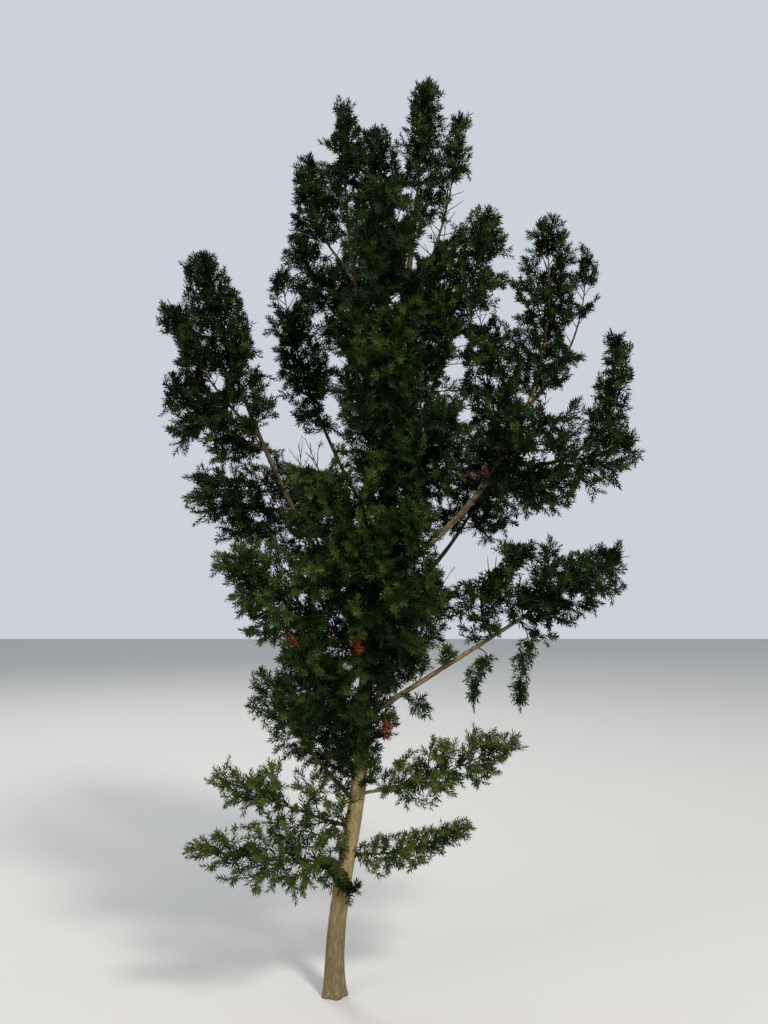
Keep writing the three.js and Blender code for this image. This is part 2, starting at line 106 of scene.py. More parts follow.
@dataclass(frozen=True)
class Limb:
    """A limb as the solids have it: it turns steadily from its first heading to its last.

    It leaves its parent at a height on the trunk, or at a length along a parent limb. Its bare length is a
    bough, and the rest is the stem of a mass of needles that reaches out to spread. A sprig is a leafy twig
    too small for a solid of its own.

    Attributes:
        name: Its name, and that of the bough and the mass of needles that it stands for.
        on: The limb that it leaves, or the trunk.
        at: Where it leaves it: a height on the trunk or a length along the limb, in metres.
        azimuth: Its first and last heading about the trunk, in degrees from +X.
        elevation: Its first and last heading above level, in degrees.
        length: Its length, in metres.
        bare: The length from its root that bears no twigs.
        girth: Its radius at its root.
        spread: How far its mass reaches out from the stem.
        region: The part of the crown that it belongs to.
        light: The sun or shade painted into its needles' colour, from 0 in deep shade to 1 in the sun.
        sparse: Whether its twigs stand further apart than on the others.
        sprig: Whether it is a sprig.
    """

    name: str
    on: str
    at: float
    azimuth: tuple[float, float]
    elevation: tuple[float, float]
    length: float
    bare: float
    girth: float
    spread: float
    region: Region
    light: float
    sparse: bool = False
    sprig: bool = False


LIMBS = (
    Limb("leader", "trunk", 3.895, (0, 0), (84, 86), 0.625, 0.0, 0.0066, 0.108,
         Region.TOP, 0.35),
    Limb("leader_right", "trunk", 3.25, (14, 17), (62, 88), 1.2, 0.0, 0.011, 0.12,
         Region.TOP, 0.45, sparse=True),
    Limb("leader_left", "trunk", 3.33, (180, 150), (74, 89), 0.96, 0.0, 0.009, 0.17,
         Region.TOP, 0.25),
    Limb("left_leader", "trunk", 2.6, (200, 175), (73, 91), 1.79, 1.12, 0.015, 0.118,
         Region.TOP, 0.3),
    Limb("crown_left", "left_leader", 0.89, (168, 140), (43, 95), 0.73, 0.0, 0.008, 0.125,
         Region.TOP, 0.25),
    Limb("crown_left_low", "left_leader", 0.56, (160, 168), (35, 82), 0.68, 0.0, 0.009, 0.18,
         Region.TOP, 0.3),
    Limb("crown_inner_left", "left_leader", 0.11, (205, 190), (45, 90), 0.5, 0.0, 0.009, 0.14,
         Region.TOP, 0.25),
    Limb("crown_front", "trunk", 2.79, (250, 310), (44, 96), 1.12, 0.0, 0.013, 0.25,
         Region.TOP, 0.4),
    Limb("crown_back", "trunk", 2.7, (100, 112), (44, 88), 1.42, 0.42, 0.012, 0.23,
         Region.BACK, 0.2),
    Limb("crown_right", "trunk", 2.95, (330, 348), (58, 86), 0.88, 0.0, 0.011, 0.155,
         Region.TOP, 0.3),
    Limb("right_centre", "trunk", 2.3, (307, 380), (58, 78), 1.56, 0.52, 0.012, 0.16,
         Region.RIGHT, 0.45),
    Limb("right_spire", "trunk", 1.93, (344, 402), (30, 100), 2.18, 1.25, 0.017, 0.165,
         Region.RIGHT, 0.3),
    Limb("right_inner", "right_spire", 0.9, (140, 175), (74, 88), 0.8, 0.0, 0.009, 0.19,
         Region.RIGHT, 0.3),
    Limb("right_outer", "right_spire", 1.19, (35, 8), (36, 100), 1.01, 0.0, 0.01, 0.08,
         Region.RIGHT, 0.3),
    Limb("right_mid", "right_spire", 0.76, (298, 344), (10, 86), 0.56, 0.0, 0.01, 0.24,
         Region.RIGHT, 0.3),
    Limb("far_right", "right_spire", 0.88, (26, -32), (-18, 116), 1.13, 0.47, 0.01, 0.125,
         Region.RIGHT, 0.35),
    Limb("far_right_pad", "far_right", 0.3, (320, 350), (-5, 30), 0.42, 0.0, 0.007, 0.195,
         Region.RIGHT, 0.35),
    Limb("right_low", "trunk", 1.28, (334, 368), (32, 33), 1.5, 0.86, 0.014, 0.165,
         Region.RIGHT_FOOT, 0.3),
    Limb("right_low_inner", "right_low", 0.75, (4, -12), (128, -5), 0.56, 0.0, 0.007, 0.125,
         Region.RIGHT_FOOT, 0.35),
    Limb("back_right", "trunk", 1.73, (28, 60), (33, 60), 1.5, 0.72, 0.014, 0.24,
         Region.RIGHT_FOOT, 0.15),
    Limb("centre_right", "trunk", 1.45, (18, 0), (48, 55), 0.72, 0.0, 0.011, 0.16,
         Region.RIGHT_FOOT, 0.25),
    Limb("centre_low_right", "trunk", 1.35, (332, 330), (50, 40), 0.43, 0.0, 0.007, 0.095,
         Region.RIGHT_FOOT, 0.3, sparse=True),
    Limb("left_spire", "trunk", 1.65, (200, 160), (56, 76), 2.12, 1.18, 0.016, 0.15,
         Region.LEFT, 0.24),
    Limb("left_tip", "left_spire", 1.13, (186, 176), (42, 70), 0.83, 0.0, 0.009, 0.11,
         Region.LEFT, 0.24),
    Limb("left_outer", "left_spire", 1.06, (164, 172), (20, 56), 0.66, 0.0, 0.009, 0.18,
         Region.LEFT, 0.24),
    Limb("left_low_outer", "left_spire", 0.74, (160, 180), (-4, 42), 0.55, 0.0, 0.009, 0.235,
         Region.LEFT, 0.24),
    Limb("left_shoulder", "trunk", 2.15, (148, 176), (54, 82), 1.55, 0.64, 0.011, 0.13,
         Region.LEFT, 0.2),
    Limb("front_left_upper", "trunk", 1.75, (266, 206), (46, 64), 1.0, 0.0, 0.014, 0.23,
         Region.FRONT, 0.5),
    Limb("front_left", "trunk", 1.5, (252, 190), (38, 24), 1.01, 0.0, 0.013, 0.235,
         Region.FRONT, 0.55),
    Limb("front_centre", "trunk", 1.6, (284, 292), (18, 80), 0.96, 0.0, 0.012, 0.22,
         Region.FRONT, 0.45),
    Limb("front_right", "trunk", 2.15, (280, 330), (30, 52), 0.88, 0.0, 0.012, 0.2,
         Region.FRONT, 0.35),
    Limb("front_upper", "trunk", 2.42, (262, 275), (30, 86), 0.9, 0.0, 0.011, 0.2,
         Region.FRONT, 0.4),
    Limb("back_left", "trunk", 1.6, (112, 130), (24, 82), 1.5, 0.52, 0.014, 0.25,
         Region.BACK, 0.1),
    Limb("back_mid", "trunk", 2.05, (82, 70), (26, 88), 1.48, 0.48, 0.013, 0.24,
         Region.BACK, 0.1),
    Limb("back_low", "trunk", 1.3, (84, 78), (20, 82), 1.33, 0.46, 0.014, 0.24,
         Region.BACK, 0.1),
    Limb("left_low", "trunk", 1.15, (250, 205), (38, 52), 0.73, 0.0, 0.013, 0.21,
         Region.LEFT_FOOT, 0.55),
    Limb("low_left", "trunk", 0.88, (204, 190), (44, 64), 0.8, 0.33, 0.012, 0.14,
         Region.LEFT_FOOT, 0.66),
    Limb("back_left_low", "trunk", 1.0, (116, 134), (20, 72), 0.92, 0.0, 0.012, 0.19,
         Region.LEFT_FOOT, 0.3),
    Limb("skirt_left", "trunk", 0.76, (223, 190), (21, 27), 0.75, 0.0, 0.009, 0.195,
         Region.LEFT_FOOT, 0.79, sparse=True),
    Limb("skirt_front", "trunk", 0.6, (240, 187), (14, 12), 0.84, 0.0, 0.008, 0.165,
         Region.LEFT_FOOT, 0.79, sparse=True),
    Limb("skirt_right", "trunk", 0.92, (330, 360), (12, 30), 0.85, 0.13, 0.0085, 0.135,
         Region.RIGHT_FOOT, 0.80, sparse=True),
    Limb("low_right", "trunk", 0.64, (340, 350), (0, 34), 0.63, 0.0, 0.006, 0.085,
         Region.RIGHT_FOOT, 0.80, sparse=True),
    Limb("trunk_front", "trunk", 1.05, (258, 240), (34, 66), 0.42, 0.0, 0.007, 0.13,
         Region.LEFT_FOOT, 0.4),
    Limb("right_under", "right_spire", 0.79, (322, 350), (-28, 12), 0.42, 0.0, 0.007, 0.14,
         Region.RIGHT, 0.3),
    Limb("wisp_inner", "right_low", 0.66, (350, 5), (-20, -88), 0.37, 0.0, 0.003, 0.045,
         Region.RIGHT_FOOT, 0.35, sprig=True),
    Limb("wisp_outer", "right_low", 0.9, (350, 5), (-55, -89), 0.44, 0.0, 0.003, 0.045,
         Region.RIGHT_FOOT, 0.35, sprig=True),
    Limb("sprig_bough_low", "right_low", 0.22, (325, 340), (-10, -50), 0.19, 0.0, 0.003, 0.06,
         Region.RIGHT_FOOT, 0.5, sprig=True),
    Limb("sprig_bough_mid", "right_low", 0.33, (300, 330), (55, 80), 0.15, 0.0, 0.003, 0.055,
         Region.RIGHT_FOOT, 0.5, sprig=True),
    Limb("sprig_bough_high", "right_low", 0.47, (280, 330), (40, 75), 0.13, 0.0, 0.003, 0.05,
         Region.RIGHT_FOOT, 0.5, sprig=True),
    Limb("sprig_bough_fill", "right_low", 0.93, (0, 0), (56, 84), 0.38, 0.0, 0.004, 0.115,
         Region.RIGHT_FOOT, 0.3, sprig=True),
    Limb("sprig_bough_under", "right_low", 1.02, (350, 5), (2, 16), 0.42, 0.0, 0.004, 0.09,
         Region.RIGHT_FOOT, 0.3, sprig=True),
    Limb("sprig_neck", "trunk", 3.65, (330, 350), (60, 82), 0.34, 0.0, 0.004, 0.09,
         Region.TOP, 0.3, sprig=True),
    Limb("sprig_fork", "trunk", 1.12, (325, 345), (35, 62), 0.27, 0.0, 0.004, 0.085,
         Region.RIGHT_FOOT, 0.4, sprig=True),
    Limb("sprig_collar", "trunk", 0.95, (300, 330), (25, 60), 0.17, 0.0, 0.003, 0.06,
         Region.RIGHT_FOOT, 0.5, sprig=True),
    Limb("sprig_foot_left", "trunk", 0.56, (218, 205), (15, 40), 0.2, 0.0, 0.003, 0.06,
         Region.LEFT_FOOT, 0.45, sprig=True),
    Limb("sprig_foot_front", "trunk", 0.5, (255, 245), (15, 55), 0.19, 0.0, 0.003, 0.06,
         Region.LEFT_FOOT, 0.4, sprig=True),
    Limb("sprig_foot_right", "trunk", 0.46, (300, 320), (10, 45), 0.17, 0.0, 0.003, 0.055,
         Region.LEFT_FOOT, 0.4, sprig=True),
)

# Where a spray has died and turned rust brown: the twigs whose middle is within reach of one of these.
DEAD_SPOTS = (
    (0.66, -0.33, 2.42), (0.78, -0.13, 2.35), (-0.16, -0.46, 1.68),
    (0.12, -0.40, 1.65), (0.23, -0.09, 1.25),
)
DEAD_REACH = 0.042


# Where the eye stands that sees the tree as the photo shows it, and how many degrees it looks up. The camera
# stands there too. The focal length and the middle of the picture are in the photo's pixels.
VIEWER = (0.235, -4.35, 1.90)
LOOKS_UP = 5.0
FOCAL_PIXELS = 885.0
PICTURE_MIDDLE = (384, 512)


@dataclass(frozen=True)
class Gap:
    """A place where the crown is open and sky shows: a round passage straight away from the viewer.

    It is held as it was read from the photo, in pixels, and its place on the tree is worked out.

    Attributes:
        across: How far its middle lies from the photo's left edge.
        down: How far it lies from the top edge.
        reach: Its radius.
    """

    across: float
    down: float
    reach: float
    PLACE_DECIMALS = 2
    RADIUS_STEP = 0.005
    RADIUS_DECIMALS = 3

    def passage(self) -> tuple[np.ndarray, float]:
        """Work out the passage, rounded to what such a reading can tell.

        Returns:
            The line from the viewer to its middle in the plane y = 0, and its radius there, in metres.
        """
        rise = math.radians(LOOKS_UP)
        above = (PICTURE_MIDDLE[1] - self.down) / FOCAL_PIXELS
        share = -VIEWER[1] / (math.cos(rise) - above * math.sin(rise))
        x = VIEWER[0] + share * (self.across - PICTURE_MIDDLE[0]) / FOCAL_PIXELS
        z = VIEWER[2] + share * (math.sin(rise) + above * math.cos(rise))
        middle = np.array((round(x, self.PLACE_DECIMALS), 0.0, round(z, self.PLACE_DECIMALS)))
        steps = round(self.reach * -VIEWER[1] / FOCAL_PIXELS / self.RADIUS_STEP)
        return middle - VIEWER, round(steps * self.RADIUS_STEP, self.RADIUS_DECIMALS)


GAPS = (
    # Between the leader and the right centre, from the top down.
    Gap(458, 214, 10), Gap(443, 231, 11), Gap(427, 248, 10), Gap(410, 264, 7),
    # Inside the top and round its spires.
    Gap(334, 250, 9), Gap(404, 192, 4), Gap(398, 217, 6), Gap(395, 298, 6),
    Gap(328, 128, 9), Gap(328, 155, 7), Gap(472, 135, 8), Gap(457, 192, 10),
    # Round the left spire and inside it.
    Gap(168, 352, 12), Gap(217, 384, 8), Gap(240, 410, 8), Gap(262, 435, 8),
    Gap(236, 272, 9), Gap(251, 300, 9), Gap(264, 343, 9), Gap(172, 300, 7),
    # Between the left spire and the middle of the crown.
    Gap(341, 360, 7), Gap(288, 300, 9), Gap(276, 342, 6), Gap(331, 407, 9),
    Gap(301, 455, 13), Gap(320, 462, 11), Gap(312, 442, 8),
    # Inside the right centre and the right spire.
    Gap(481, 318, 9), Gap(460, 345, 7), Gap(455, 371, 11), Gap(465, 416, 8),
    Gap(520, 309, 7), Gap(548, 264, 7), Gap(497, 266, 7),
    # Between the right spire and the far right.
    Gap(553, 402, 13), Gap(580, 335, 17), Gap(584, 296, 10),
    # Above the low right bough, and past its tip.
    Gap(450, 561, 12), Gap(471, 566, 13), Gap(490, 560, 11), Gap(448, 582, 8),
    Gap(632, 554, 11),
)


# Numbers and directions


class SeededStream:
    """A seeded stream of numbers from 0 to 1, the same one as in the part's source."""

    MODULUS = 2147483647
    MULTIPLIER = 16807
    SEED_STEP = 7919

    def __init__(self, seed: int) -> None:
        """Start the stream at a seed."""
        self.state = (seed * self.SEED_STEP) % self.MODULUS

    def draw(self, count: int) -> np.ndarray:
        """Draw the next numbers.

        Args:
            count: How many to draw.

        Returns:
            The numbers, in the order of the stream.
        """
        values = np.empty(count)
        for index in range(count):
            self.state = (self.state * self.MULTIPLIER) % self.MODULUS
            values[index] = self.state
        return values / self.MODULUS


def mix(low: np.ndarray | float, high: np.ndarray | float, share: np.ndarray | float) -> np.ndarray | float:
    """Go a share of the way from one number to another."""
    return low + (high - low) * share


def unit(vectors: np.ndarray) -> np.ndarray:
    """Scale vectors to the length of one."""
    return vectors / np.maximum(np.linalg.norm(vectors, axis=-1, keepdims=True), TINY)


def headings_of(azimuth: np.ndarray, elevation: np.ndarray) -> np.ndarray:
    """Turn azimuths and elevations in degrees into directions."""
    a, e = np.radians(azimuth), np.radians(elevation)
    return np.stack([np.cos(e) * np.cos(a), np.cos(e) * np.sin(a), np.sin(e)], axis=-1)


def sideways(axes: np.ndarray, turns: np.ndarray) -> np.ndarray:
    """Find directions across some axes.

    Args:
        axes: The axes, of length one.
        turns: How far each direction is turned about its axis away from level, in degrees.

    Returns:
        One direction of length one for each axis.
    """
    level = np.cross(axes, UP)
    flat = np.linalg.norm(level, axis=-1, keepdims=True) < LEAST_LEVEL
    level = unit(np.where(flat, np.cross(axes, ALONG_X), level))
    across = np.cross(axes, level)
    angle = np.radians(turns)[..., None]
    return level * np.cos(angle) + across * np.sin(angle)


# The limbs' lines and the room of each mass


@dataclass(frozen=True)
class TrunkForm:
    """The trunk's line and girth: it leans along +X, wanders, and swells into buttresses at its foot.

    Attributes:
        top: The height where it ends and the leader starts, in metres.
        lean: How far it leans over for each metre of height.
        wander: How far it wanders along X, in metres.
        wander_fade: The height over which that fades.
        wander_period: The height that one swing of it takes.
        depth_wander: How far it wanders along Y.
        depth_period: The height that one swing of that takes.
        foot_radius: Its radius at the ground, without the flare.
        top_radius: Its radius at the top.
        taper: Below one, it thins later.
        flare: How much wider it is at the ground.
        flare_height: The height over which the flare fades.
        buttresses: How many buttresses its foot has.
        buttress_depth: How much they stand out, as a share of the flare.
    """

    top: float = 3.9
    lean: float = 0.103
    wander: float = 0.026
    wander_fade: float = 1.5
    wander_period: float = 1.4
    depth_wander: float = 0.020
    depth_period: float = 2.6
    foot_radius: float = 0.045
    top_radius: float = 0.009
    taper: float = 0.8
    flare: float = 0.015
    flare_height: float = 0.080
    buttresses: int = 5
    buttress_depth: float = 0.45

    def point(self, z: np.ndarray) -> np.ndarray:
        """Give the middle of the trunk at some heights.

        Args:
            z: The heights, in metres.

        Returns:
            The points, one to a row.
        """
        z = np.asarray(z, dtype=float)
        wander = self.wander * np.exp(-z / self.wander_fade) * np.sin(2 * math.pi * z / self.wander_period)
        depth = self.depth_wander * np.sin(2 * math.pi * z / self.depth_period)
        return np.stack([self.lean * z - wander, depth, z], axis=-1)

    def radius(self, z: np.ndarray, angle: np.ndarray | float = 0.0) -> np.ndarray:
        """Give the trunk's radius at some heights.

        Args:
            z: The heights, in metres.
            angle: The directions about its axis, in radians.

        Returns:
            The radii, in metres.
        """
        taper = mix(self.top_radius, self.foot_radius, np.maximum(1 - z / self.top, 0) ** self.taper)
        fold = 1 + self.buttress_depth * np.cos(self.buttresses * angle)
        return taper + self.flare * fold * np.exp(-z / self.flare_height)


class LimbLine:
    """A limb's line, which gives its point, heading and radius at any length along it.

    Attributes:
        STEPS: How many straight steps it has.
        TIP_SHARE: The share of its girth that a limb would keep at its tip if it were all bough.
        COLLAR_SWELL: How much it swells where it leaves its parent, as a share of the girth.
        COLLAR_GIRTHS: How fast the swelling fades, in girths.
        TIP_RADIUS: The radius at the tip, in metres.
        THINNING: The higher this power, the later the leafy part thins.
    """

    STEPS = 48
    TIP_SHARE = 0.34
    COLLAR_SWELL = 0.4
    COLLAR_GIRTHS = 2
    TIP_RADIUS = 0.0014
    THINNING = 1.6

    def __init__(self, limb: Limb, start: np.ndarray) -> None:
        """Lay the line from its start.

        Args:
            limb: The limb.
            start: The point where it leaves its parent.
        """
        self.limb = limb
        step = limb.length / self.STEPS
        headings = self.heading((np.arange(self.STEPS) + 0.5) * step)
        self.points = np.vstack([start, start + np.cumsum(headings * step, axis=0)])

    def heading(self, along: np.ndarray) -> np.ndarray:
        """Give the limb's direction at some lengths along it."""
        share = np.asarray(along) / self.limb.length
        return headings_of(mix(*self.limb.azimuth, share), mix(*self.limb.elevation, share))

    def point(self, along: np.ndarray) -> np.ndarray:
        """Give the limb's middle at some lengths along it.

        Args:
            along: The lengths, in metres.

        Returns:
            The points, one to a row.
        """
        place = np.clip(np.asarray(along) / self.limb.length, 0, 1) * self.STEPS
        index = np.minimum(place.astype(int), self.STEPS - 1)
        part = (place - index)[..., None]
        return self.points[index] * (1 - part) + self.points[index + 1] * part

    def radius(self, along: np.ndarray) -> np.ndarray:
        """Give the radius of the bough, and past the bough one that thins on to the limb's tip.

        Args:
            along: Lengths along the limb, in metres.

        Returns:
            The radii, in metres.
        """
        limb = self.limb
        along = np.asarray(along, dtype=float)
        full = limb.girth * mix(1, self.TIP_SHARE, along / limb.length)
        full = full + limb.girth * self.COLLAR_SWELL * np.exp(-along / (self.COLLAR_GIRTHS * limb.girth))
        leafy = np.clip((along - limb.bare) / (limb.length - limb.bare), 0, 1)
        return mix(full, self.TIP_RADIUS, leafy ** self.THINNING)


class Framework:
    """The trunk, the lines of all the limbs, and the room of each mass of needles.

    Attributes:
        SAMPLES: How many balls a room is made of.
        ROOT_SHARE: The share of its spread that a room has at the root of its stem.
        TIP_SHARE: The share that it has at the tip.
        FULLEST: How far along the stem it has all of it.
        BOUNDARY: How far a twig keeps from the border with a neighbour's room. Below 0, it may cross it.
        CHUNK: How many points are measured at once.
        TRUNK_SPACING: How far apart the balls of the trunk's wood are, in metres.
        LIMB_SPACING: How far apart those of a limb's are.
        WOODY_SHARE: The share of a limb that twigs keep clear of.
        CLEARANCE: How far they keep off wood.
        BOX_MARGIN: How far past the CAD box they may reach.
        LUMPS_PER_METRE: How often a room's edge swells and sinks.
        LUMP: How much it does, as a share of the reach.
    """

    SAMPLES = 16
    ROOT_SHARE = 0.7
    TIP_SHARE = 0.45
    FULLEST = 0.45
    BOUNDARY = -0.22
    CHUNK = 20000
    TRUNK_SPACING = 0.02
    LIMB_SPACING = 0.012
    WOODY_SHARE = 0.8
    CLEARANCE = 0.003
    BOX_MARGIN = 0.012
    LUMPS_PER_METRE = 7.0
    LUMP = 0.5

    def __init__(self, trunk: TrunkForm) -> None:
        """Lay out all the lines, parents first.

        Args:
            trunk: The trunk's line and girth.
        """
        self.trunk = trunk
        self.lines: dict[str, LimbLine] = {}
        for limb in LIMBS:
            parent = trunk if limb.on == "trunk" else self.lines[limb.on]
            self.lines[limb.name] = LimbLine(limb, parent.point(limb.at))
        share = np.linspace(0, 1, self.SAMPLES)
        balls = [self._balls(limb, share) for limb in LIMBS]
        self.middles = np.concatenate([middles for middles, _ in balls])
        self.reaches = np.concatenate([reaches for _, reaches in balls])
        self.low = np.array(CAD_BOX[0]) - self.BOX_MARGIN
        self.high = np.array(CAD_BOX[1]) + self.BOX_MARGIN
        self._plant_wood()

    def fullness(self, share: np.ndarray) -> np.ndarray:
        """Tell how full a mass is along its stem.

        Args:
            share: How far along its stem, from 0 to 1.

        Returns:
            The share of the spread.
        """
        rising = mix(self.ROOT_SHARE, 1, np.sin(math.pi / 2 * share / self.FULLEST))
        falling = 1 - (1 - self.TIP_SHARE) * ((share - self.FULLEST) / (1 - self.FULLEST)) ** 2
        return np.where(share < self.FULLEST, rising, falling)

    def _balls(self, limb: Limb, share: np.ndarray) -> tuple[np.ndarray, np.ndarray]:
        """Lay a row of balls along the stem of a mass, whose reaches make its room."""
        along = mix(limb.bare, limb.length - self.TIP_SHARE * limb.spread, share)
        return self.lines[limb.name].point(along), limb.spread * self.fullness(share)

    def _plant_wood(self) -> None:
        """Gather the wood of the trunk and the limbs as balls that twigs keep clear of."""
        heights = np.arange(0, self.trunk.top, self.TRUNK_SPACING)
        middles = [self.trunk.point(heights)]
        radii = [self.trunk.radius(heights)]
        for line in self.lines.values():
            along = np.arange(0, line.limb.length * self.WOODY_SHARE, self.LIMB_SPACING)
            middles.append(line.point(along))
            radii.append(line.radius(along))
        self.wood_radii = np.concatenate(radii)
        self.wood = kdtree.KDTree(len(self.wood_radii))
        for index, middle in enumerate(np.concatenate(middles)):
            self.wood.insert(middle, index)
        self.wood.balance()

    def crowding(self, points: np.ndarray) -> np.ndarray:
        """Tell how deep points lie in each room.

        Args:
            points: The points, one to a row.

        Returns:
            A row for each point and a column for each limb: the distance to the room's nearest ball as a
            share of that ball's reach.
        """
        rows = [np.empty((0, len(LIMBS)))]
        for start in range(0, len(points), self.CHUNK):
            some = points[start:start + self.CHUNK]
            square = (some ** 2).sum(1)[:, None] + (self.middles ** 2).sum(1) - 2 * some @ self.middles.T
            share = np.sqrt(np.maximum(square, 0)) / self.reaches
            rows.append(share.reshape(len(some), len(LIMBS), self.SAMPLES).min(axis=2))
        return np.concatenate(rows)

    def is_clear(self, points: np.ndarray) -> np.ndarray:
        """Tell which points lie inside the CAD box and off all wood.

        Args:
            points: The points, one to a row.

        Returns:
            True for each point that does.
        """
        clear = np.all((points > self.low) & (points < self.high), axis=1)
        for index in np.flatnonzero(clear):
            _, near, distance = self.wood.find(points[index])
            clear[index] = distance > self.wood_radii[near] + self.CLEARANCE
        return clear

    @staticmethod
    def in_gap(points: np.ndarray) -> np.ndarray:
        """Tell which points lie in one of the gaps that sky shows through.

        Args:
            points: The points, one to a row.

        Returns:
            True for each point that does.
        """
        away = points - VIEWER
        found = np.zeros(len(points), dtype=bool)
        for gap in GAPS:
            line, radius = gap.passage()
            share = away @ line / (line @ line)
            aside = np.linalg.norm(away - share[:, None] * line, axis=1)
            found |= aside < radius * share
        return found

    def holds(self, room: int, points: np.ndarray, edge: np.ndarray) -> np.ndarray:
        """Tell which points lie in a mass's own room, clear of all wood.

        Args:
            room: The number of the limb whose room it is.
            points: The points, one to a row.
            edge: How far out each point may lie, as a share of the room's reach.

        Returns:
            True for each point that may be grown to.
        """
        crowding = self.crowding(points)
        own = crowding[:, room].copy()
        crowding[:, room] = np.inf
        lumps = np.array([noise.noise(point) for point in points * self.LUMPS_PER_METRE])
        inside = (own <= edge * (1 + self.LUMP * lumps)) & (crowding.min(axis=1) >= own + self.BOUNDARY)
        inside[inside] = self.is_clear(points[inside])
        return inside


# Twigs, order by order


@dataclass(frozen=True)
class Order:
    """How twigs of one order stand on the wood of the order before.

    Attributes:
        spacing: How far apart they stand, in metres.
        span: The shares of the parent's length between which they stand.
        crowd: Below one, they crowd towards the parent's tip.
        pitch: Degrees off the parent at its root and at its tip.
        jitter: Degrees that the pitch varies by.
        length: Metres, at the parent's root and at its tip. None reaches for the room's edge.
        vary: The share of its length that one may lose.
        least: The shortest that is kept, in metres.
        lift: How much of up is added to the first heading.
        curl: How much of up is added to the heading by the tip.
        steps: How many straight steps one has.
        wood_steps: How many its wood has, which the needles hide.
        wood: The colour of its bark.
        girth: Its radius at root and tip, in metres.
        edge: How far out of its room it may reach, as shares of the reach, the least and the most.
        needles: The share of its length from which it bears needles. One or more bears none.
    """

    spacing: float
    span: tuple[float, float]
    crowd: float
    pitch: tuple[float, float]
    jitter: float
    length: tuple[float, float] | None
    vary: float
    least: float
    lift: float
    curl: float
    steps: int
    wood_steps: int
    wood: Wood
    girth: tuple[float, float]
    edge: tuple[float, float]
    needles: float


BRANCHLET = Order(spacing=0.033, span=(0.0, 1.0), crowd=1.0, pitch=(72, 28), jitter=18, length=None,
                  vary=0.15, least=0.05, lift=0.0, curl=0.10, steps=6, wood_steps=5, wood=Wood.OLD,
                  girth=(0.0032, 0.0014), edge=(0.92, 1.10), needles=0.35)
TWIG = Order(spacing=0.029, span=(0.12, 1.0), crowd=0.75, pitch=(62, 36), jitter=24, length=(0.130, 0.140),
             vary=0.4, least=0.03, lift=0.0, curl=0.06, steps=4, wood_steps=2, wood=Wood.BROWN,
             girth=(0.0017, 0.0010), edge=(0.94, 1.20), needles=0.12)
SHOOT = Order(spacing=0.028, span=(0.16, 1.0), crowd=0.9, pitch=(62, 32), jitter=26, length=(0.080, 0.065),
              vary=0.4, least=0.02, lift=0.02, curl=0.10, steps=2, wood_steps=1, wood=Wood.GREEN,
              girth=(0.0011, 0.0007), edge=(0.98, 1.26), needles=0.0)
INNER = Order(spacing=0.024, span=(0.0, 1.0), crowd=1.0, pitch=(76, 40), jitter=24, length=(0.110, 0.065),
              vary=0.5, least=0.02, lift=0.0, curl=0.1, steps=2, wood_steps=1, wood=Wood.BROWN,
              girth=(0.0012, 0.0008), edge=(0.9, 1.1), needles=0.0)
DRAWS_PER_TWIG = 6
# How far twigs stand off even places on their parent, as a share of the spacing.
STAGGER = 0.5
# The factors on the spacing: in a sparse mass, in one slenderer than the full spread, and by region.
SPARSE_FACTOR = 1.22
FULL_SPREAD = 0.22
SLENDER_POWER = 0.45
REGION_SPACING = {Region.TOP: 0.94, Region.FRONT: 0.89, Region.RIGHT: 0.94, Region.RIGHT_FOOT: 0.9,
                  Region.LEFT: 0.88, Region.BACK: 1.08}


def closeness(limb: Limb) -> float:
    """Give the factor on the spacing of a mass's twigs, which stand closer where the mass is slender."""
    slender = min(1.0, limb.spread / FULL_SPREAD) ** SLENDER_POWER
    return slender * REGION_SPACING.get(limb.region, 1.0) * (SPARSE_FACTOR if limb.sparse else 1.0)


@dataclass
class Paths:
    """A batch of twigs of one order, each a line of equal steps.

    Attributes:
        points: For each twig, the points along it.
        headings: For each twig, its direction at those points.
        lengths: Each one's length, in metres.
        light: The sun or shade painted into each one's needles, from 0 in deep shade to 1 in the sun.
    """

    points: np.ndarray
    headings: np.ndarray
    lengths: np.ndarray
    light: np.ndarray

    def at(self, owner: np.ndarray, share: np.ndarray) -> tuple[np.ndarray, np.ndarray]:
        """Give points and headings on the twigs.

        Args:
            owner: The number of the twig that each is asked of.
            share: How far along that twig, from 0 to 1.

        Returns:
            The points, and the headings there.
        """
        steps = self.points.shape[1] - 1
        place = np.clip(share, 0, 1) * steps
        index = np.minimum(place.astype(int), steps - 1)
        part = (place - index)[:, None]
        points = self.points[owner, index] * (1 - part) + self.points[owner, index + 1] * part
        headings = self.headings[owner, index] * (1 - part) + self.headings[owner, index + 1] * part
        return points, unit(headings)

    def stretch(self, keep: np.ndarray, first: np.ndarray | float, last: np.ndarray | float,
                steps: int) -> "Paths":
        """Cut some of the twigs to a stretch of their length.

        Args:
            keep: The numbers of the twigs.
            first: The share of the length where the stretch starts.
            last: The share where it ends.
            steps: How many steps the new lines have.

        Returns:
            The new batch.
        """
        count = len(keep)
        first = np.broadcast_to(first, count)
        last = np.broadcast_to(last, count)
        share = first[:, None] + (last - first)[:, None] * np.linspace(0, 1, steps + 1)
        owner = np.repeat(keep, steps + 1)
        points, headings = self.at(owner, share.ravel())
        return Paths(points.reshape(count, steps + 1, 3), headings.reshape(count, steps + 1, 3),
                     self.lengths[keep] * (last - first), self.light[keep])


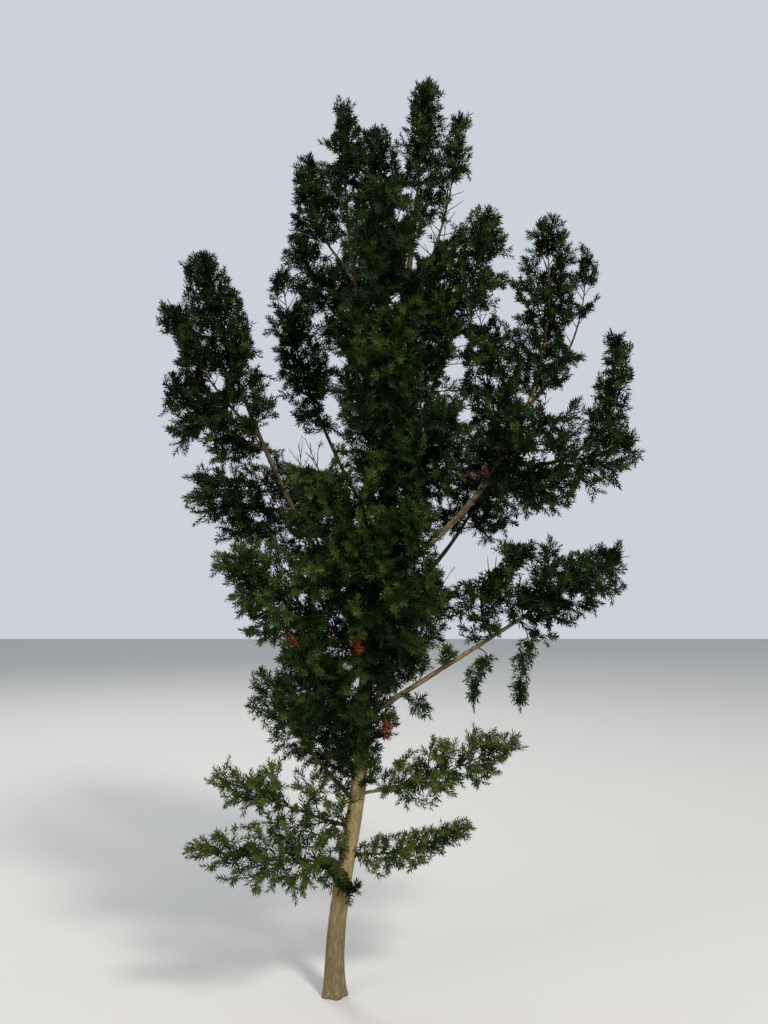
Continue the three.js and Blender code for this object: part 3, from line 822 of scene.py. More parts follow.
@dataclass
class Strands:
    """Lines of one region and kind, gathered before a tree of nodes makes one mesh of them."""

    points: list[np.ndarray] = field(default_factory=list)
    starts: list[np.ndarray] = field(default_factory=list)
    tones: list[np.ndarray] = field(default_factory=list)
    scales: list[np.ndarray] = field(default_factory=list)
    total: int = 0

    def add(self, paths: Paths, tones: np.ndarray, scales: np.ndarray) -> None:
        """Add a batch of lines.

        Args:
            paths: The lines.
            tones: The tone of each line.
            scales: For each line, the scale at each of its points: a twig's radius or a needle's size.
        """
        count, places = paths.points.shape[:2]
        index = self.total + np.arange(count * places).reshape(count, places)
        self.total += count * places
        self.points.append(paths.points.reshape(-1, 3))
        self.starts.append(index[:, :-1].ravel())
        self.tones.append(np.repeat(tones, places))
        self.scales.append(np.broadcast_to(scales, (count, places)).ravel())

    def mesh(self, name: str) -> bpy.types.Mesh:
        """Make a mesh of edges from all the lines.

        Args:
            name: The mesh's name.

        Returns:
            The mesh, with each point's tone and scale as attributes.
        """
        points, starts = np.concatenate(self.points), np.concatenate(self.starts)
        pairs = np.stack([starts, starts + 1], axis=1)
        mesh = bpy.data.meshes.new(name)
        mesh.vertices.add(len(points))
        mesh.vertices.foreach_set("co", points.ravel())
        mesh.edges.add(len(pairs))
        mesh.edges.foreach_set("vertices", pairs.ravel())
        tone = mesh.attributes.new("tone", "INT", "POINT")
        tone.data.foreach_set("value", np.concatenate(self.tones).astype(np.int32))
        scale = mesh.attributes.new("scale", "FLOAT", "POINT")
        scale.data.foreach_set("value", np.concatenate(self.scales))
        return mesh


# Trees of nodes


# The numbers of the sockets that share their name with another one of their node.
MIX_LOW, MIX_HIGH, MIX_RESULT = 6, 7, 2
COMPARE_ONE, COMPARE_OTHER = 2, 3
RANDOM_LEAST, RANDOM_MOST, RANDOM_SEED, RANDOM_VALUE = 2, 3, 8, 1


def place(tree: bpy.types.NodeTree, kind: str, inputs: dict[int | str, object] | None = None,
          **settings: object) -> bpy.types.Node:
    """Put a node into a tree.

    Args:
        tree: The tree.
        kind: The node's type.
        inputs: For an input's number or name, either a socket that feeds it or its value.
        settings: The node's own settings.

    Returns:
        The node.
    """
    node = tree.nodes.new(kind)
    for name, value in settings.items():
        setattr(node, name, value)
    for key, value in (inputs or {}).items():
        if isinstance(value, bpy.types.NodeSocket):
            tree.links.new(value, node.inputs[key])
        else:
            node.inputs[key].default_value = value
    return node


def feed(tree: bpy.types.NodeTree, kind: str, inputs: dict[int | str, object] | None = None,
         **settings: object) -> bpy.types.NodeSocket:
    """Put a node into a tree as place does, and give its first output."""
    return place(tree, kind, inputs, **settings).outputs[0]


def math_node(tree: bpy.types.NodeTree, operation: str, *values: object) -> bpy.types.NodeSocket:
    """Put a Math node into a tree, fed by sockets or numbers in order, and give its output."""
    return feed(tree, "ShaderNodeMath", dict(enumerate(values)), operation=operation)


def colour_mix(tree: bpy.types.NodeTree, factor: bpy.types.NodeSocket, low: object,
               high: object) -> bpy.types.NodeSocket:
    """Put a mix of two colours into a tree.

    Args:
        tree: The tree.
        factor: What the mix goes by.
        low: The colour at a factor of 0, or a socket that gives it.
        high: The colour at a factor of 1, or a socket that gives it.

    Returns:
        The mixed colour.
    """
    node = place(tree, "ShaderNodeMix", {"Factor": factor, MIX_LOW: low, MIX_HIGH: high}, data_type="RGBA")
    return node.outputs[MIX_RESULT]


def add_object(name: str, data: bpy.types.ID) -> bpy.types.Object:
    """Put an object with some data into the scene.

    Args:
        name: The object's name.
        data: Its mesh, lamp or camera.

    Returns:
        The object.
    """
    thing = bpy.data.objects.new(name, data)
    bpy.context.scene.collection.objects.link(thing)
    return thing


class GrowthTree:
    """A tree of Geometry Nodes that turns lines into a mesh, with named inputs."""

    def __init__(self, name: str, sizes: dict[str, tuple[str, object]]) -> None:
        """Start the tree.

        Args:
            name: The tree's name.
            sizes: For each input's name, its socket type and its value.
        """
        self.tree = bpy.data.node_groups.new(name, "GeometryNodeTree")
        self.identifiers: dict[str, str] = {}
        self.values: dict[str, object] = {}
        interface = self.tree.interface
        interface.new_socket("Geometry", in_out="INPUT", socket_type="NodeSocketGeometry")
        for label, (kind, value) in sizes.items():
            socket = interface.new_socket(label, in_out="INPUT", socket_type=kind)
            self.identifiers[label] = socket.identifier
            self.values[label] = value
        interface.new_socket("Geometry", in_out="OUTPUT", socket_type="NodeSocketGeometry")
        self.inputs = place(self.tree, "NodeGroupInput").outputs

    def scale(self) -> bpy.types.NodeSocket:
        """Give the scale that each line carries."""
        return feed(self.tree, "GeometryNodeInputNamedAttribute", {"Name": "scale"}, data_type="FLOAT")

    def by_tone(self, geometry: bpy.types.NodeSocket, materials: list[bpy.types.Material]) -> None:
        """Give each spray the material of its tone, and end the tree.

        Args:
            geometry: The mesh to dress.
            materials: The material of each tone, in the order of the tones.
        """
        tone = feed(self.tree, "GeometryNodeInputNamedAttribute", {"Name": "tone"}, data_type="INT")
        for index, material in enumerate(materials):
            match = feed(self.tree, "FunctionNodeCompare", {COMPARE_ONE: tone, COMPARE_OTHER: index},
                         data_type="INT", operation="EQUAL")
            geometry = feed(self.tree, "GeometryNodeSetMaterial",
                            {"Geometry": geometry, "Selection": match, "Material": material})
        place(self.tree, "NodeGroupOutput", {"Geometry": geometry})

    def grow(self, name: str, lines: bpy.types.Mesh) -> bpy.types.Object:
        """Run the tree on a mesh of lines.

        Args:
            name: The new piece's name.
            lines: The lines, which are used up.

        Returns:
            A piece with a plain mesh.
        """
        carrier = add_object(name + "_lines", lines)
        modifier = carrier.modifiers.new("growth", "NODES")
        modifier.node_group = self.tree
        for label, value in self.values.items():
            modifier[self.identifiers[label]] = value
        grown = carrier.evaluated_get(bpy.context.evaluated_depsgraph_get())
        mesh = bpy.data.meshes.new_from_object(grown)
        carrier.modifiers.remove(modifier)
        bpy.data.objects.remove(carrier)
        bpy.data.meshes.remove(lines)
        mesh.name = name
        for label in ("tone", "scale"):
            mesh.attributes.remove(mesh.attributes[label])
        return add_object(name, mesh)


class NeedleTree(GrowthTree):
    """Sets needles round each line by the golden angle, leaning on towards its tip.

    Attributes:
        SPACING: How far apart needles stand on a line, in metres.
        LENGTH: The length of a needle.
        SIDE_PITCH: Degrees that it stands off the line along most of it.
        TIP_PITCH: Degrees that it stands off it at the tip.
        SEED: The seed of what varies from needle to needle.
        PITCH_SALT: Sets the numbers for the pitch apart from the others, as the next two do for theirs.
        NEAR_TIP: The higher this power, the nearer to the tip the needles start to lean on.
        PITCH_JITTER: Degrees that a needle may stand off its pitch.
        TURN_JITTER: Degrees that it may stand off its turn.
        SIZES: The least and the greatest size, as shares of the length.
        TIP_SHORTENING: The share that the last needle is shorter by.
        WIDTH: The width of a needle, in metres.
        WIDEST: How far up its length a needle is widest.
        FOLD: How deep it is folded along its middle, as a share of its width.
        BOW: How far it bows outwards, as a share of its length.
    """

    SPACING = 0.0026
    LENGTH = 0.030
    SIDE_PITCH = 60.0
    TIP_PITCH = 24.0
    SEED = 7
    PITCH_SALT, TURN_SALT, SIZE_SALT = 1, 2, 3
    NEAR_TIP = 4.0
    PITCH_JITTER = 13.0
    TURN_JITTER = 16.0
    SIZES = (0.82, 1.12)
    TIP_SHORTENING = 0.25
    WIDTH = 0.0068
    WIDEST = 0.4
    FOLD = 0.22
    BOW = 0.06

    def __init__(self, materials: list[bpy.types.Material]) -> None:
        """Build the tree.

        Args:
            materials: The material of each tone.
        """
        super().__init__("needles_on_lines", {
            "Needle": ("NodeSocketObject", self._needle(materials[0])),
            "Spacing": ("NodeSocketFloat", self.SPACING),
            "Length": ("NodeSocketFloat", self.LENGTH),
            "Side Pitch": ("NodeSocketFloat", self.SIDE_PITCH),
            "Tip Pitch": ("NodeSocketFloat", self.TIP_PITCH),
            "Turn": ("NodeSocketFloat", GOLDEN_ANGLE),
            "Seed": ("NodeSocketInt", self.SEED),
        })
        tree, source = self.tree, self.inputs
        curve = feed(tree, "GeometryNodeMeshToCurve", {"Mesh": source["Geometry"]})
        scale = self.scale()
        even = place(tree, "GeometryNodeResampleCurve", {"Curve": curve}, mode="LENGTH")
        tree.links.new(math_node(tree, "MULTIPLY", source["Spacing"], scale), even.inputs["Length"])
        along = feed(tree, "GeometryNodeSplineParameter")
        near_tip = math_node(tree, "POWER", along, self.NEAR_TIP)
        needle = place(tree, "GeometryNodeObjectInfo", {"Object": source["Needle"]}).outputs["Geometry"]
        instances = feed(tree, "GeometryNodeInstanceOnPoints", {
            "Points": even.outputs[0], "Instance": needle,
            "Rotation": self._rotation(near_tip), "Scale": self._size(near_tip, scale)})
        self.by_tone(feed(tree, "GeometryNodeRealizeInstances", {"Geometry": instances}), materials)

    def _rotation(self, near_tip: bpy.types.NodeSocket) -> bpy.types.NodeSocket:
        """Turn each needle round its line and tilt it off the line.

        Args:
            near_tip: How near each needle is to the tip.

        Returns:
            The rotation of each needle.
        """
        tree, source = self.tree, self.inputs
        change = math_node(tree, "SUBTRACT", source["Tip Pitch"], source["Side Pitch"])
        pitch = math_node(tree, "ADD", source["Side Pitch"], math_node(tree, "MULTIPLY", near_tip, change))
        jitter = self._random(-1.0, 1.0, self.PITCH_SALT)
        pitch = math_node(tree, "MULTIPLY_ADD", jitter, self.PITCH_JITTER, pitch)
        jitter = self._random(-self.TURN_JITTER, self.TURN_JITTER, self.TURN_SALT)
        turn = math_node(tree, "MULTIPLY", feed(tree, "GeometryNodeInputIndex"), source["Turn"])
        turn = math_node(tree, "ADD", jitter, turn)
        lean = feed(tree, "ShaderNodeCombineXYZ", {
            "X": math_node(tree, "RADIANS", pitch), "Z": math_node(tree, "RADIANS", turn)})
        euler = feed(tree, "FunctionNodeEulerToRotation", {"Euler": lean})
        tangent = feed(tree, "GeometryNodeInputTangent")
        upright = feed(tree, "FunctionNodeAlignRotationToVector", {"Vector": tangent}, axis="Z")
        return feed(tree, "FunctionNodeRotateRotation", {"Rotation": upright, "Rotate By": euler},
                    rotation_space="LOCAL")

    def _size(self, near_tip: bpy.types.NodeSocket, scale: bpy.types.NodeSocket) -> bpy.types.NodeSocket:
        """Give the length of each needle.

        Args:
            near_tip: How near each needle is to the tip.
            scale: The scale that its line carries.

        Returns:
            The length, in metres.
        """
        tree = self.tree
        shorter = math_node(tree, "MULTIPLY", near_tip, self.TIP_SHORTENING)
        share = math_node(tree, "SUBTRACT", self._random(*self.SIZES, self.SIZE_SALT), shorter)
        return math_node(tree, "MULTIPLY", math_node(tree, "MULTIPLY", self.inputs["Length"], share), scale)

    def _random(self, least: float, most: float, salt: int) -> bpy.types.NodeSocket:
        """Draw a number for each needle, from the tree's seed.

        Args:
            least: The least that it may be.
            most: The most.
            salt: What sets it apart from the others.

        Returns:
            The number of each needle.
        """
        seed = math_node(self.tree, "ADD", self.inputs["Seed"], float(salt))
        node = place(self.tree, "FunctionNodeRandomValue",
                     {RANDOM_LEAST: least, RANDOM_MOST: most, RANDOM_SEED: seed}, data_type="FLOAT")
        return node.outputs[RANDOM_VALUE]

    def _needle(self, material: bpy.types.Material) -> bpy.types.Object:
        """Make one needle of length one along +Z: a slim pointed blade, folded along its middle.

        Args:
            material: A material for it, which its tone's takes over from.

        Returns:
            The needle.
        """
        width = self.WIDTH / self.LENGTH
        edge = self.BOW - self.FOLD * width
        points = [(0, 0, 0), (width / 2, edge, self.WIDEST), (-width / 2, edge, self.WIDEST),
                  (0, self.BOW / 2, 1)]
        mesh = bpy.data.meshes.new("needle")
        mesh.from_pydata(points, [], [(0, 1, 3), (0, 3, 2)])
        mesh.materials.append(material)
        return bpy.data.objects.new("needle", mesh)


class TwigTree(GrowthTree):
    """Draws a thin stem along each line, whose radius is the line's scale."""

    SIDES = 3

    def __init__(self, materials: list[bpy.types.Material]) -> None:
        """Build the tree.

        Args:
            materials: The material of each tone.
        """
        super().__init__("wood_on_lines", {"Sides": ("NodeSocketInt", self.SIDES)})
        tree, source = self.tree, self.inputs
        curve = feed(tree, "GeometryNodeMeshToCurve", {"Mesh": source["Geometry"]})
        section = feed(tree, "GeometryNodeCurvePrimitiveCircle",
                       {"Resolution": source["Sides"], "Radius": 1.0})
        stems = feed(tree, "GeometryNodeCurveToMesh", {
            "Curve": curve, "Profile Curve": section, "Scale": self.scale(), "Fill Caps": True})
        plain = feed(tree, "GeometryNodeSetMaterial", {"Geometry": stems, "Material": materials[0]})
        self.by_tone(feed(tree, "GeometryNodeRealizeInstances", {"Geometry": plain}), materials)


# Finishes


def principled(name: str, roughness: float, specular: float) -> tuple[bpy.types.Material, bpy.types.Node]:
    """Start a material.

    Args:
        name: The material's name.
        roughness: The roughness of its surface.
        specular: How strongly it mirrors light.

    Returns:
        The material and its shader node.
    """
    material = bpy.data.materials.new(name)
    material.use_nodes = True
    shader = material.node_tree.nodes["Principled BSDF"]
    shader.inputs["Roughness"].default_value = roughness
    shader.inputs["Specular IOR Level"].default_value = specular
    return material, shader


@dataclass(frozen=True)
class PlainFinish:
    """A finish for needles or thin twigs: one base colour, dealt out by spray."""

    name: str
    colour: tuple[float, float, float]
    roughness: float = 0.48
    specular: float = 0.05

    def material(self) -> bpy.types.Material:
        """Make the material.

        Returns:
            The material, of one plain colour.
        """
        material, shader = principled(self.name, self.roughness, self.specular)
        shader.inputs["Base Color"].default_value = (*self.colour, 1.0)
        return material


# From needles_shade to needles_olive the colours grow brighter: painted shade and painted sun, dealt out by
# spray.
NEEDLE_FINISHES = {
    Tone.SHADE: PlainFinish("needles_shade", (0.002, 0.006, 0.001)),
    Tone.DEEP: PlainFinish("needles_deep", (0.005, 0.013, 0.003)),
    Tone.GREEN: PlainFinish("needles_green", (0.013, 0.028, 0.006)),
    Tone.FRESH: PlainFinish("needles_fresh", (0.030, 0.052, 0.011)),
    Tone.OLIVE: PlainFinish("needles_olive", (0.062, 0.080, 0.018)),
    Tone.DEAD: PlainFinish("needles_dead", (0.190, 0.050, 0.020), 0.75),
}
TWIG_FINISHES = {
    Wood.OLD: PlainFinish("twig_old", (0.052, 0.034, 0.020), 0.8),
    Wood.BROWN: PlainFinish("twig_brown", (0.072, 0.048, 0.026), 0.8),
    Wood.GREEN: PlainFinish("shoot_green", (0.045, 0.055, 0.018), 0.6),
}


BLACK = (0.0, 0.0, 0.0, 1.0)
CLOUD_DETAIL = 5.0
CLOUD_RANGE = (0.32, 0.68)
RANGE_SOCKETS = ("Value", "From Min", "From Max", "To Min", "To Max")


def map_range(tree: bpy.types.NodeTree, *values: object) -> bpy.types.NodeSocket:
    """Map a value from one range to another, with the value and the ends of both given in order."""
    return feed(tree, "ShaderNodeMapRange", dict(zip(RANGE_SOCKETS, values)))


def mottle_group() -> bpy.types.NodeTree:
    """Build the shader group that gives soft patches over a surface.

    Returns:
        The group, with the inputs Scale, Low and High and the output Value.
    """
    tree = bpy.data.node_groups.new("mottle", "ShaderNodeTree")
    for label, value in (("Scale", 10.0), ("Low", 0.0), ("High", 1.0)):
        socket = tree.interface.new_socket(label, in_out="INPUT", socket_type="NodeSocketFloat")
        socket.default_value = value
    tree.interface.new_socket("Value", in_out="OUTPUT", socket_type="NodeSocketFloat")
    source = place(tree, "NodeGroupInput").outputs
    coordinates = place(tree, "ShaderNodeTexCoord").outputs["Object"]
    cloud = feed(tree, "ShaderNodeTexNoise",
                 {"Vector": coordinates, "Scale": source["Scale"], "Detail": CLOUD_DETAIL})
    value = map_range(tree, cloud, *CLOUD_RANGE, source["Low"], source["High"])
    place(tree, "NodeGroupOutput", {"Value": value})
    return tree


def mottled(tree: bpy.types.NodeTree, mottle: bpy.types.NodeTree, scale: float,
            high: float) -> bpy.types.NodeSocket:
    """Place the group of soft patches in a material.

    Args:
        tree: The material's tree.
        mottle: The group.
        scale: How many patches there are to a metre, roughly.
        high: The value in the middle of a patch.

    Returns:
        The value, from 0 between patches to the high one.
    """
    group = place(tree, "ShaderNodeGroup", {"Scale": scale, "Low": 0.0, "High": high},
                  node_tree=bpy.data.node_groups[mottle.name])
    return group.outputs["Value"]


@dataclass(frozen=True)
class BarkFinish:
    """A bark: paler plates with dark fissures between, mottled, with a fine grain that runs up the stem. It
    can be darkened by height, as painted shade under the crown and at the foot.

    Attributes:
        name: The material's name.
        ridge: The colour of a plain plate.
        pale: The colour of a pale plate.
        fissure: The colour between plates.
        roughness: The roughness of its surface.
        specular: How strongly it mirrors light.
        patches: How many soft patches there are to a metre.
        patch_high: How far a patch goes in its middle, from 0 to 1.
        patch_share: How much a patch makes a plate pale.
        tint_share: How much a plate's own tint does.
        grain: How fine the grain is.
        grain_stretch: The grain's scale along the stem, as a share of that across.
        grain_detail: How many finer grains lie within it.
        grain_depth: How deep the grain is, in metres.
        grain_strength: How much of that shows, from 0 to 1.
        shade: The share of its colour that the bark keeps under the crown, as painted shade.
        shade_from: The height where the painted shade of the crown starts, in metres.
        shade_to: The height from which it is full.
        foot_shade: The share of its colour that the bark keeps at the foot, as painted shade.
        foot_from: The height up to which the foot is painted dark.
        foot_to: The height from which it isn't.
    """

    name: str
    ridge: tuple[float, float, float]
    pale: tuple[float, float, float]
    fissure: tuple[float, float, float]
    roughness: float = 0.88
    specular: float = 0.2
    patches: float = 14.0
    patch_high: float = 0.8
    patch_share: float = 0.6
    tint_share: float = 0.55
    grain: float = 900.0
    grain_stretch: float = 0.16
    grain_detail: float = 4.0
    grain_depth: float = 0.0006
    grain_strength: float = 0.6
    shade: float = 1.0
    shade_from: float = 1.1
    shade_to: float = 1.9
    foot_shade: float = 1.0
    foot_from: float = 0.26
    foot_to: float = 0.50

    def material(self, mottle: bpy.types.NodeTree) -> bpy.types.Material:
        """Make the material.

        Args:
            mottle: The group that gives soft patches.

        Returns:
            The material, which reads the attributes plate and tint of the bark's mesh.
        """
        material, shader = principled(self.name, self.roughness, self.specular)
        tree = material.node_tree
        plate = place(tree, "ShaderNodeAttribute", attribute_name="plate").outputs["Fac"]
        tint = place(tree, "ShaderNodeAttribute", attribute_name="tint").outputs["Fac"]
        patches = math_node(tree, "MULTIPLY", mottled(tree, mottle, self.patches, self.patch_high),
                            self.patch_share)
        paleness = math_node(tree, "MULTIPLY_ADD", tint, self.tint_share, patches)
        plates = colour_mix(tree, paleness, (*self.ridge, 1.0), (*self.pale, 1.0))
        colour = colour_mix(tree, plate, (*self.fissure, 1.0), plates)
        coordinates = place(tree, "ShaderNodeTexCoord").outputs["Object"]
        # Painted shade: the colour is darkened under the crown and at the foot.
        dimmed = colour_mix(tree, self._light(tree, coordinates), BLACK, colour)
        tree.links.new(dimmed, shader.inputs["Base Color"])
        stretched = feed(tree, "ShaderNodeMapping",
                         {"Vector": coordinates, "Scale": (1.0, 1.0, self.grain_stretch)})
        grain = feed(tree, "ShaderNodeTexNoise",
                     {"Vector": stretched, "Scale": self.grain, "Detail": self.grain_detail})
        bump = feed(tree, "ShaderNodeBump", {"Height": grain, "Strength": self.grain_strength,
                                             "Distance": self.grain_depth})
        tree.links.new(bump, shader.inputs["Normal"])
        return material

    def _light(self, tree: bpy.types.NodeTree, coordinates: bpy.types.NodeSocket) -> bpy.types.NodeSocket:
        """Give the share of its colour that the bark keeps at each height, as painted shade under the crown
        and at the foot.

        Args:
            tree: The material's tree.
            coordinates: The point on the surface.

        Returns:
            The share.
        """
        height = place(tree, "ShaderNodeSeparateXYZ", {"Vector": coordinates}).outputs["Z"]
        above = map_range(tree, height, self.shade_from, self.shade_to, 1.0, self.shade)
        below = map_range(tree, height, self.foot_from, self.foot_to, self.foot_shade, 1.0)
        return math_node(tree, "MULTIPLY", above, below)


# The trunk keeps a quarter of its colour under the crown and half at the foot: painted shade.
TRUNK_FINISH = BarkFinish("trunk_bark", (0.300, 0.235, 0.115), (0.450, 0.365, 0.185), (0.215, 0.160, 0.075),
                          shade=0.25, foot_shade=0.5)
# Two copies of one bark, a pale one with painted light and a dark one with painted shade.
SUNLIT_BOUGH_FINISH = BarkFinish("pale_bough_bark", (0.250, 0.195, 0.105), (0.400, 0.325, 0.180),
                               (0.120, 0.085, 0.045))
SHADED_BOUGH_FINISH = BarkFinish("dark_bough_bark", (0.070, 0.052, 0.030), (0.130, 0.102, 0.060),
                               (0.036, 0.025, 0.015))
# The boughs that stand in the sun, whose paler bark is painted light. All other boughs and the stems get the
# darker copy, as painted shade.
SUNLIT_BOUGHS = ("right_low", "right_spire", "skirt_right")


# Bark


@dataclass(frozen=True)
class Relief:
    """The plates that a bark is broken into.

    Attributes:
        across: A plate's width, in metres.
        along: A plate's length.
        depth: How deep the fissures between plates are.
        BEND: How far the plates' edges wander, as a share of a plate.
        BEND_SCALE: How often they do, for each direction.
        TINT_SCALE: Sets which tint falls to which plate.
        ROUGH_SCALE: How often the roughness comes, for each direction.
        ROUGH_OCTAVES: Its fall-off, the step from one octave to the next, and how many there are.
        FISSURE: The half of a fissure's width, as a share of a plate.
        SHOULDER: The width over which a plate rises.
        SUNK: How deep the fissures lie in the smooth stem, as a share of the depth.
        ROUGHNESS: The height of the roughness, as a share of the depth.
        STEP: How much higher one plate stands than another.
    """

    across: float
    along: float
    depth: float
    BEND = 0.7
    BEND_SCALE = (0.5, 0.5, 0.9)
    TINT_SCALE = 3.7
    ROUGH_SCALE = (2.0, 2.0, 2.5)
    ROUGH_OCTAVES = (1.0, 2.1, 3)
    FISSURE = 0.03
    SHOULDER = 0.28
    SUNK = 0.6
    ROUGHNESS = 0.28
    STEP = 0.25

    def measure(self, points: np.ndarray) -> tuple[np.ndarray, np.ndarray, np.ndarray]:
        """Find the plates under some points of a smooth stem.

        Args:
            points: The points, with the length along the stem as the third number.

        Returns:
            The height of the relief, how much each point belongs to a plate, and the plate's own tint.
        """
        scaled = points / (self.across, self.across, self.along)
        height = np.empty(len(points))
        plate = np.empty(len(points))
        tint = np.empty(len(points))
        for index, point in enumerate(scaled):
            bend = noise.noise(point * self.BEND_SCALE) * self.BEND
            near, middles = noise.voronoi(point + (bend, -bend, 0))
            plate[index] = near[1] - near[0]
            tint[index] = noise.cell(middles[0] * self.TINT_SCALE)
            height[index] = noise.fractal(point * self.ROUGH_SCALE, *self.ROUGH_OCTAVES)
        plate = np.clip((plate - self.FISSURE) / self.SHOULDER, 0, 1)
        plate = plate * plate * (3 - 2 * plate)
        relief = plate - self.SUNK + self.ROUGHNESS * height + self.STEP * (tint - 0.5)
        return self.depth * relief, plate, tint


@dataclass
class BarkTube:
    """The bark round one stem: its points and faces, and how each point belongs to a plate and its tint."""

    points: np.ndarray
    faces: list[list[int]]
    plate: np.ndarray
    tint: np.ndarray


def bark_tube(middles: np.ndarray, outward: np.ndarray, radii: np.ndarray, around: np.ndarray,
              lengths: np.ndarray, relief: Relief) -> BarkTube:
    """Wrap bark round a line.

    Args:
        middles: The middle of each ring.
        outward: For each ring, the direction out to each of its corners.
        radii: For each ring, how far out each of its corners lies.
        around: The angle of each corner, in radians.
        lengths: The length along the stem of each ring.
        relief: The bark's plates.

    Returns:
        The bark, closed at both ends.
    """
    rings, sides = radii.shape
    smooth = np.stack([radii * np.cos(around), radii * np.sin(around),
                       np.repeat(lengths[:, None], sides, axis=1)], axis=-1)
    height, plate, tint = relief.measure(smooth.reshape(-1, 3))
    reach = radii + height.reshape(rings, sides)
    points = (middles[:, None, :] + outward * reach[..., None]).reshape(-1, 3)
    lower = np.arange(rings - 1)[:, None] * sides + np.arange(sides)
    beside = np.arange(rings - 1)[:, None] * sides + (np.arange(sides) + 1) % sides
    quads = np.stack([lower, beside, beside + sides, lower + sides], axis=-1).reshape(-1, 4)
    top = (rings - 1) * sides
    ends = [list(range(sides - 1, -1, -1)), list(range(top, top + sides))]
    return BarkTube(points, quads.tolist() + ends, plate, tint)


def bark_piece(name: str, tubes: list[BarkTube], material: bpy.types.Material) -> bpy.types.Object:
    """Join the bark of some stems into one piece.

    Args:
        name: The piece's name.
        tubes: The bark of each stem.
        material: The bark's material.

    Returns:
        The piece.
    """
    base, faces = 0, []
    for tube in tubes:
        faces += [[corner + base for corner in face] for face in tube.faces]
        base += len(tube.points)
    mesh = bpy.data.meshes.new(name)
    mesh.from_pydata(np.concatenate([tube.points for tube in tubes]).tolist(), [], faces)
    mesh.shade_smooth()
    for label in ("plate", "tint"):
        attribute = mesh.attributes.new(label, "FLOAT", "POINT")
        attribute.data.foreach_set("value", np.concatenate([getattr(tube, label) for tube in tubes]))
    mesh.materials.append(material)
    return add_object(name, mesh)


def report(piece: bpy.types.Object, slot: str, *nodes: str) -> None:
    """Ride a piece on the tree's body, say what it replaces, and log its size.

    Args:
        piece: The piece.
        slot: The name of a material slot for it; not used.
        nodes: The nodes that it replaces, if any.
    """
    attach(piece, ROOT_BODY)
    if nodes:
        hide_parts(*nodes)
    triangles = sum(len(face.vertices) - 2 for face in piece.data.polygons)
    LOG.info("%s: %d triangles, stands for %d nodes", piece.name, triangles, len(nodes))


@dataclass
class Trunk:
    """The trunk's bark, from the flat cut at the ground to the foot of the leader.

    Attributes:
        framework: The trunk's line.
        sides: How many corners a ring has.
        fine_to: The height up to which the rings are close together, in metres.
        fine_step: How far apart they are up to there.
        coarse_step: How far apart they are above.
        relief: The bark's plates.
    """

    framework: Framework
    sides: int = 96
    fine_to: float = 1.35
    fine_step: float = 0.0065
    coarse_step: float = 0.016
    relief: Relief = Relief(across=0.0052, along=0.065, depth=0.0010)

    def build(self, material: bpy.types.Material) -> None:
        """Make the trunk's piece.

        Args:
            material: The bark.
        """
        form = self.framework.trunk
        heights = np.concatenate([np.arange(0, self.fine_to, self.fine_step),
                                  np.arange(self.fine_to, form.top, self.coarse_step), [form.top]])
        around = np.linspace(0, 2 * math.pi, self.sides, endpoint=False)
        radii = form.radius(heights[:, None], around[None, :])
        level = np.stack([np.cos(around), np.sin(around), np.zeros(self.sides)], axis=-1)
        outward = np.broadcast_to(level, (len(heights), self.sides, 3))
        tube = bark_tube(form.point(heights), outward, radii, around, heights, self.relief)
        report(bark_piece("trunk_bark", [tube], material), "trunk_bark", "trunk")


@dataclass
class Boughs:
    """The bark of the boughs, each of which runs on as the stem of its mass, and of the other stems.

    Attributes:
        framework: The limbs' lines.
        step: How far apart the rings are, in metres.
        bough_sides: How many corners a ring of a bough has.
        stem_sides: How many a ring of another stem has.
        fewest_rings: How many rings the shortest stem has.
        steep: The rise from which a limb counts as upright where it starts.
        deepest: How deep the fissures may be, as a share of the girth.
        relief: The bark's plates.
    """

    framework: Framework
    step: float = 0.013
    bough_sides: int = 24
    stem_sides: int = 12
    fewest_rings: int = 4
    steep: float = 0.9
    deepest: float = 0.07
    relief: Relief = Relief(across=0.008, along=0.040, depth=0.0009)

    def tube(self, line: LimbLine, sides: int) -> BarkTube:
        """Wrap bark round a limb from inside its parent to its tip.

        Args:
            line: The limb's line.
            sides: How many corners a ring has.

        Returns:
            The bark.
        """
        rings = max(self.fewest_rings, round(line.limb.length / self.step))
        along = np.linspace(0, line.limb.length, rings)
        headings = line.heading(along)
        side = ALONG_X if abs(headings[0, 2]) > self.steep else UP
        around = np.linspace(0, 2 * math.pi, sides, endpoint=False)
        outward = np.empty((len(along), sides, 3))
        for ring, heading in enumerate(headings):
            side = unit(side - heading * (side @ heading))
            other = np.cross(heading, side)
            outward[ring] = np.outer(np.cos(around), side) + np.outer(np.sin(around), other)
        radii = np.repeat(line.radius(along)[:, None], sides, axis=1)
        relief = replace(self.relief, depth=min(self.relief.depth, line.limb.girth * self.deepest))
        return bark_tube(line.point(along), outward, radii, around, along, relief)

    def build(self, pale: bpy.types.Material, dark: bpy.types.Material) -> None:
        """Make a piece for each bough, and one for all the stems that leave the trunk or a bough leafy.

        Args:
            pale: The bark of the boughs that stand in the sun: the copy with painted light.
            dark: The bark of all others: the copy with painted shade.
        """
        stems = []
        for line in self.framework.lines.values():
            name = line.limb.name
            if line.limb.bare:
                # Painted light: a sunlit bough gets the pale copy of the bark, any other the dark one.
                material = pale if name in SUNLIT_BOUGHS else dark
                piece = bark_piece(f"{name}_bark", [self.tube(line, self.bough_sides)], material)
                report(piece, "bough_bark", f"{name}_bough")
            else:
                stems.append(self.tube(line, self.stem_sides))
        report(bark_piece("stems_bark", stems, dark), "bough_bark")


# The crown


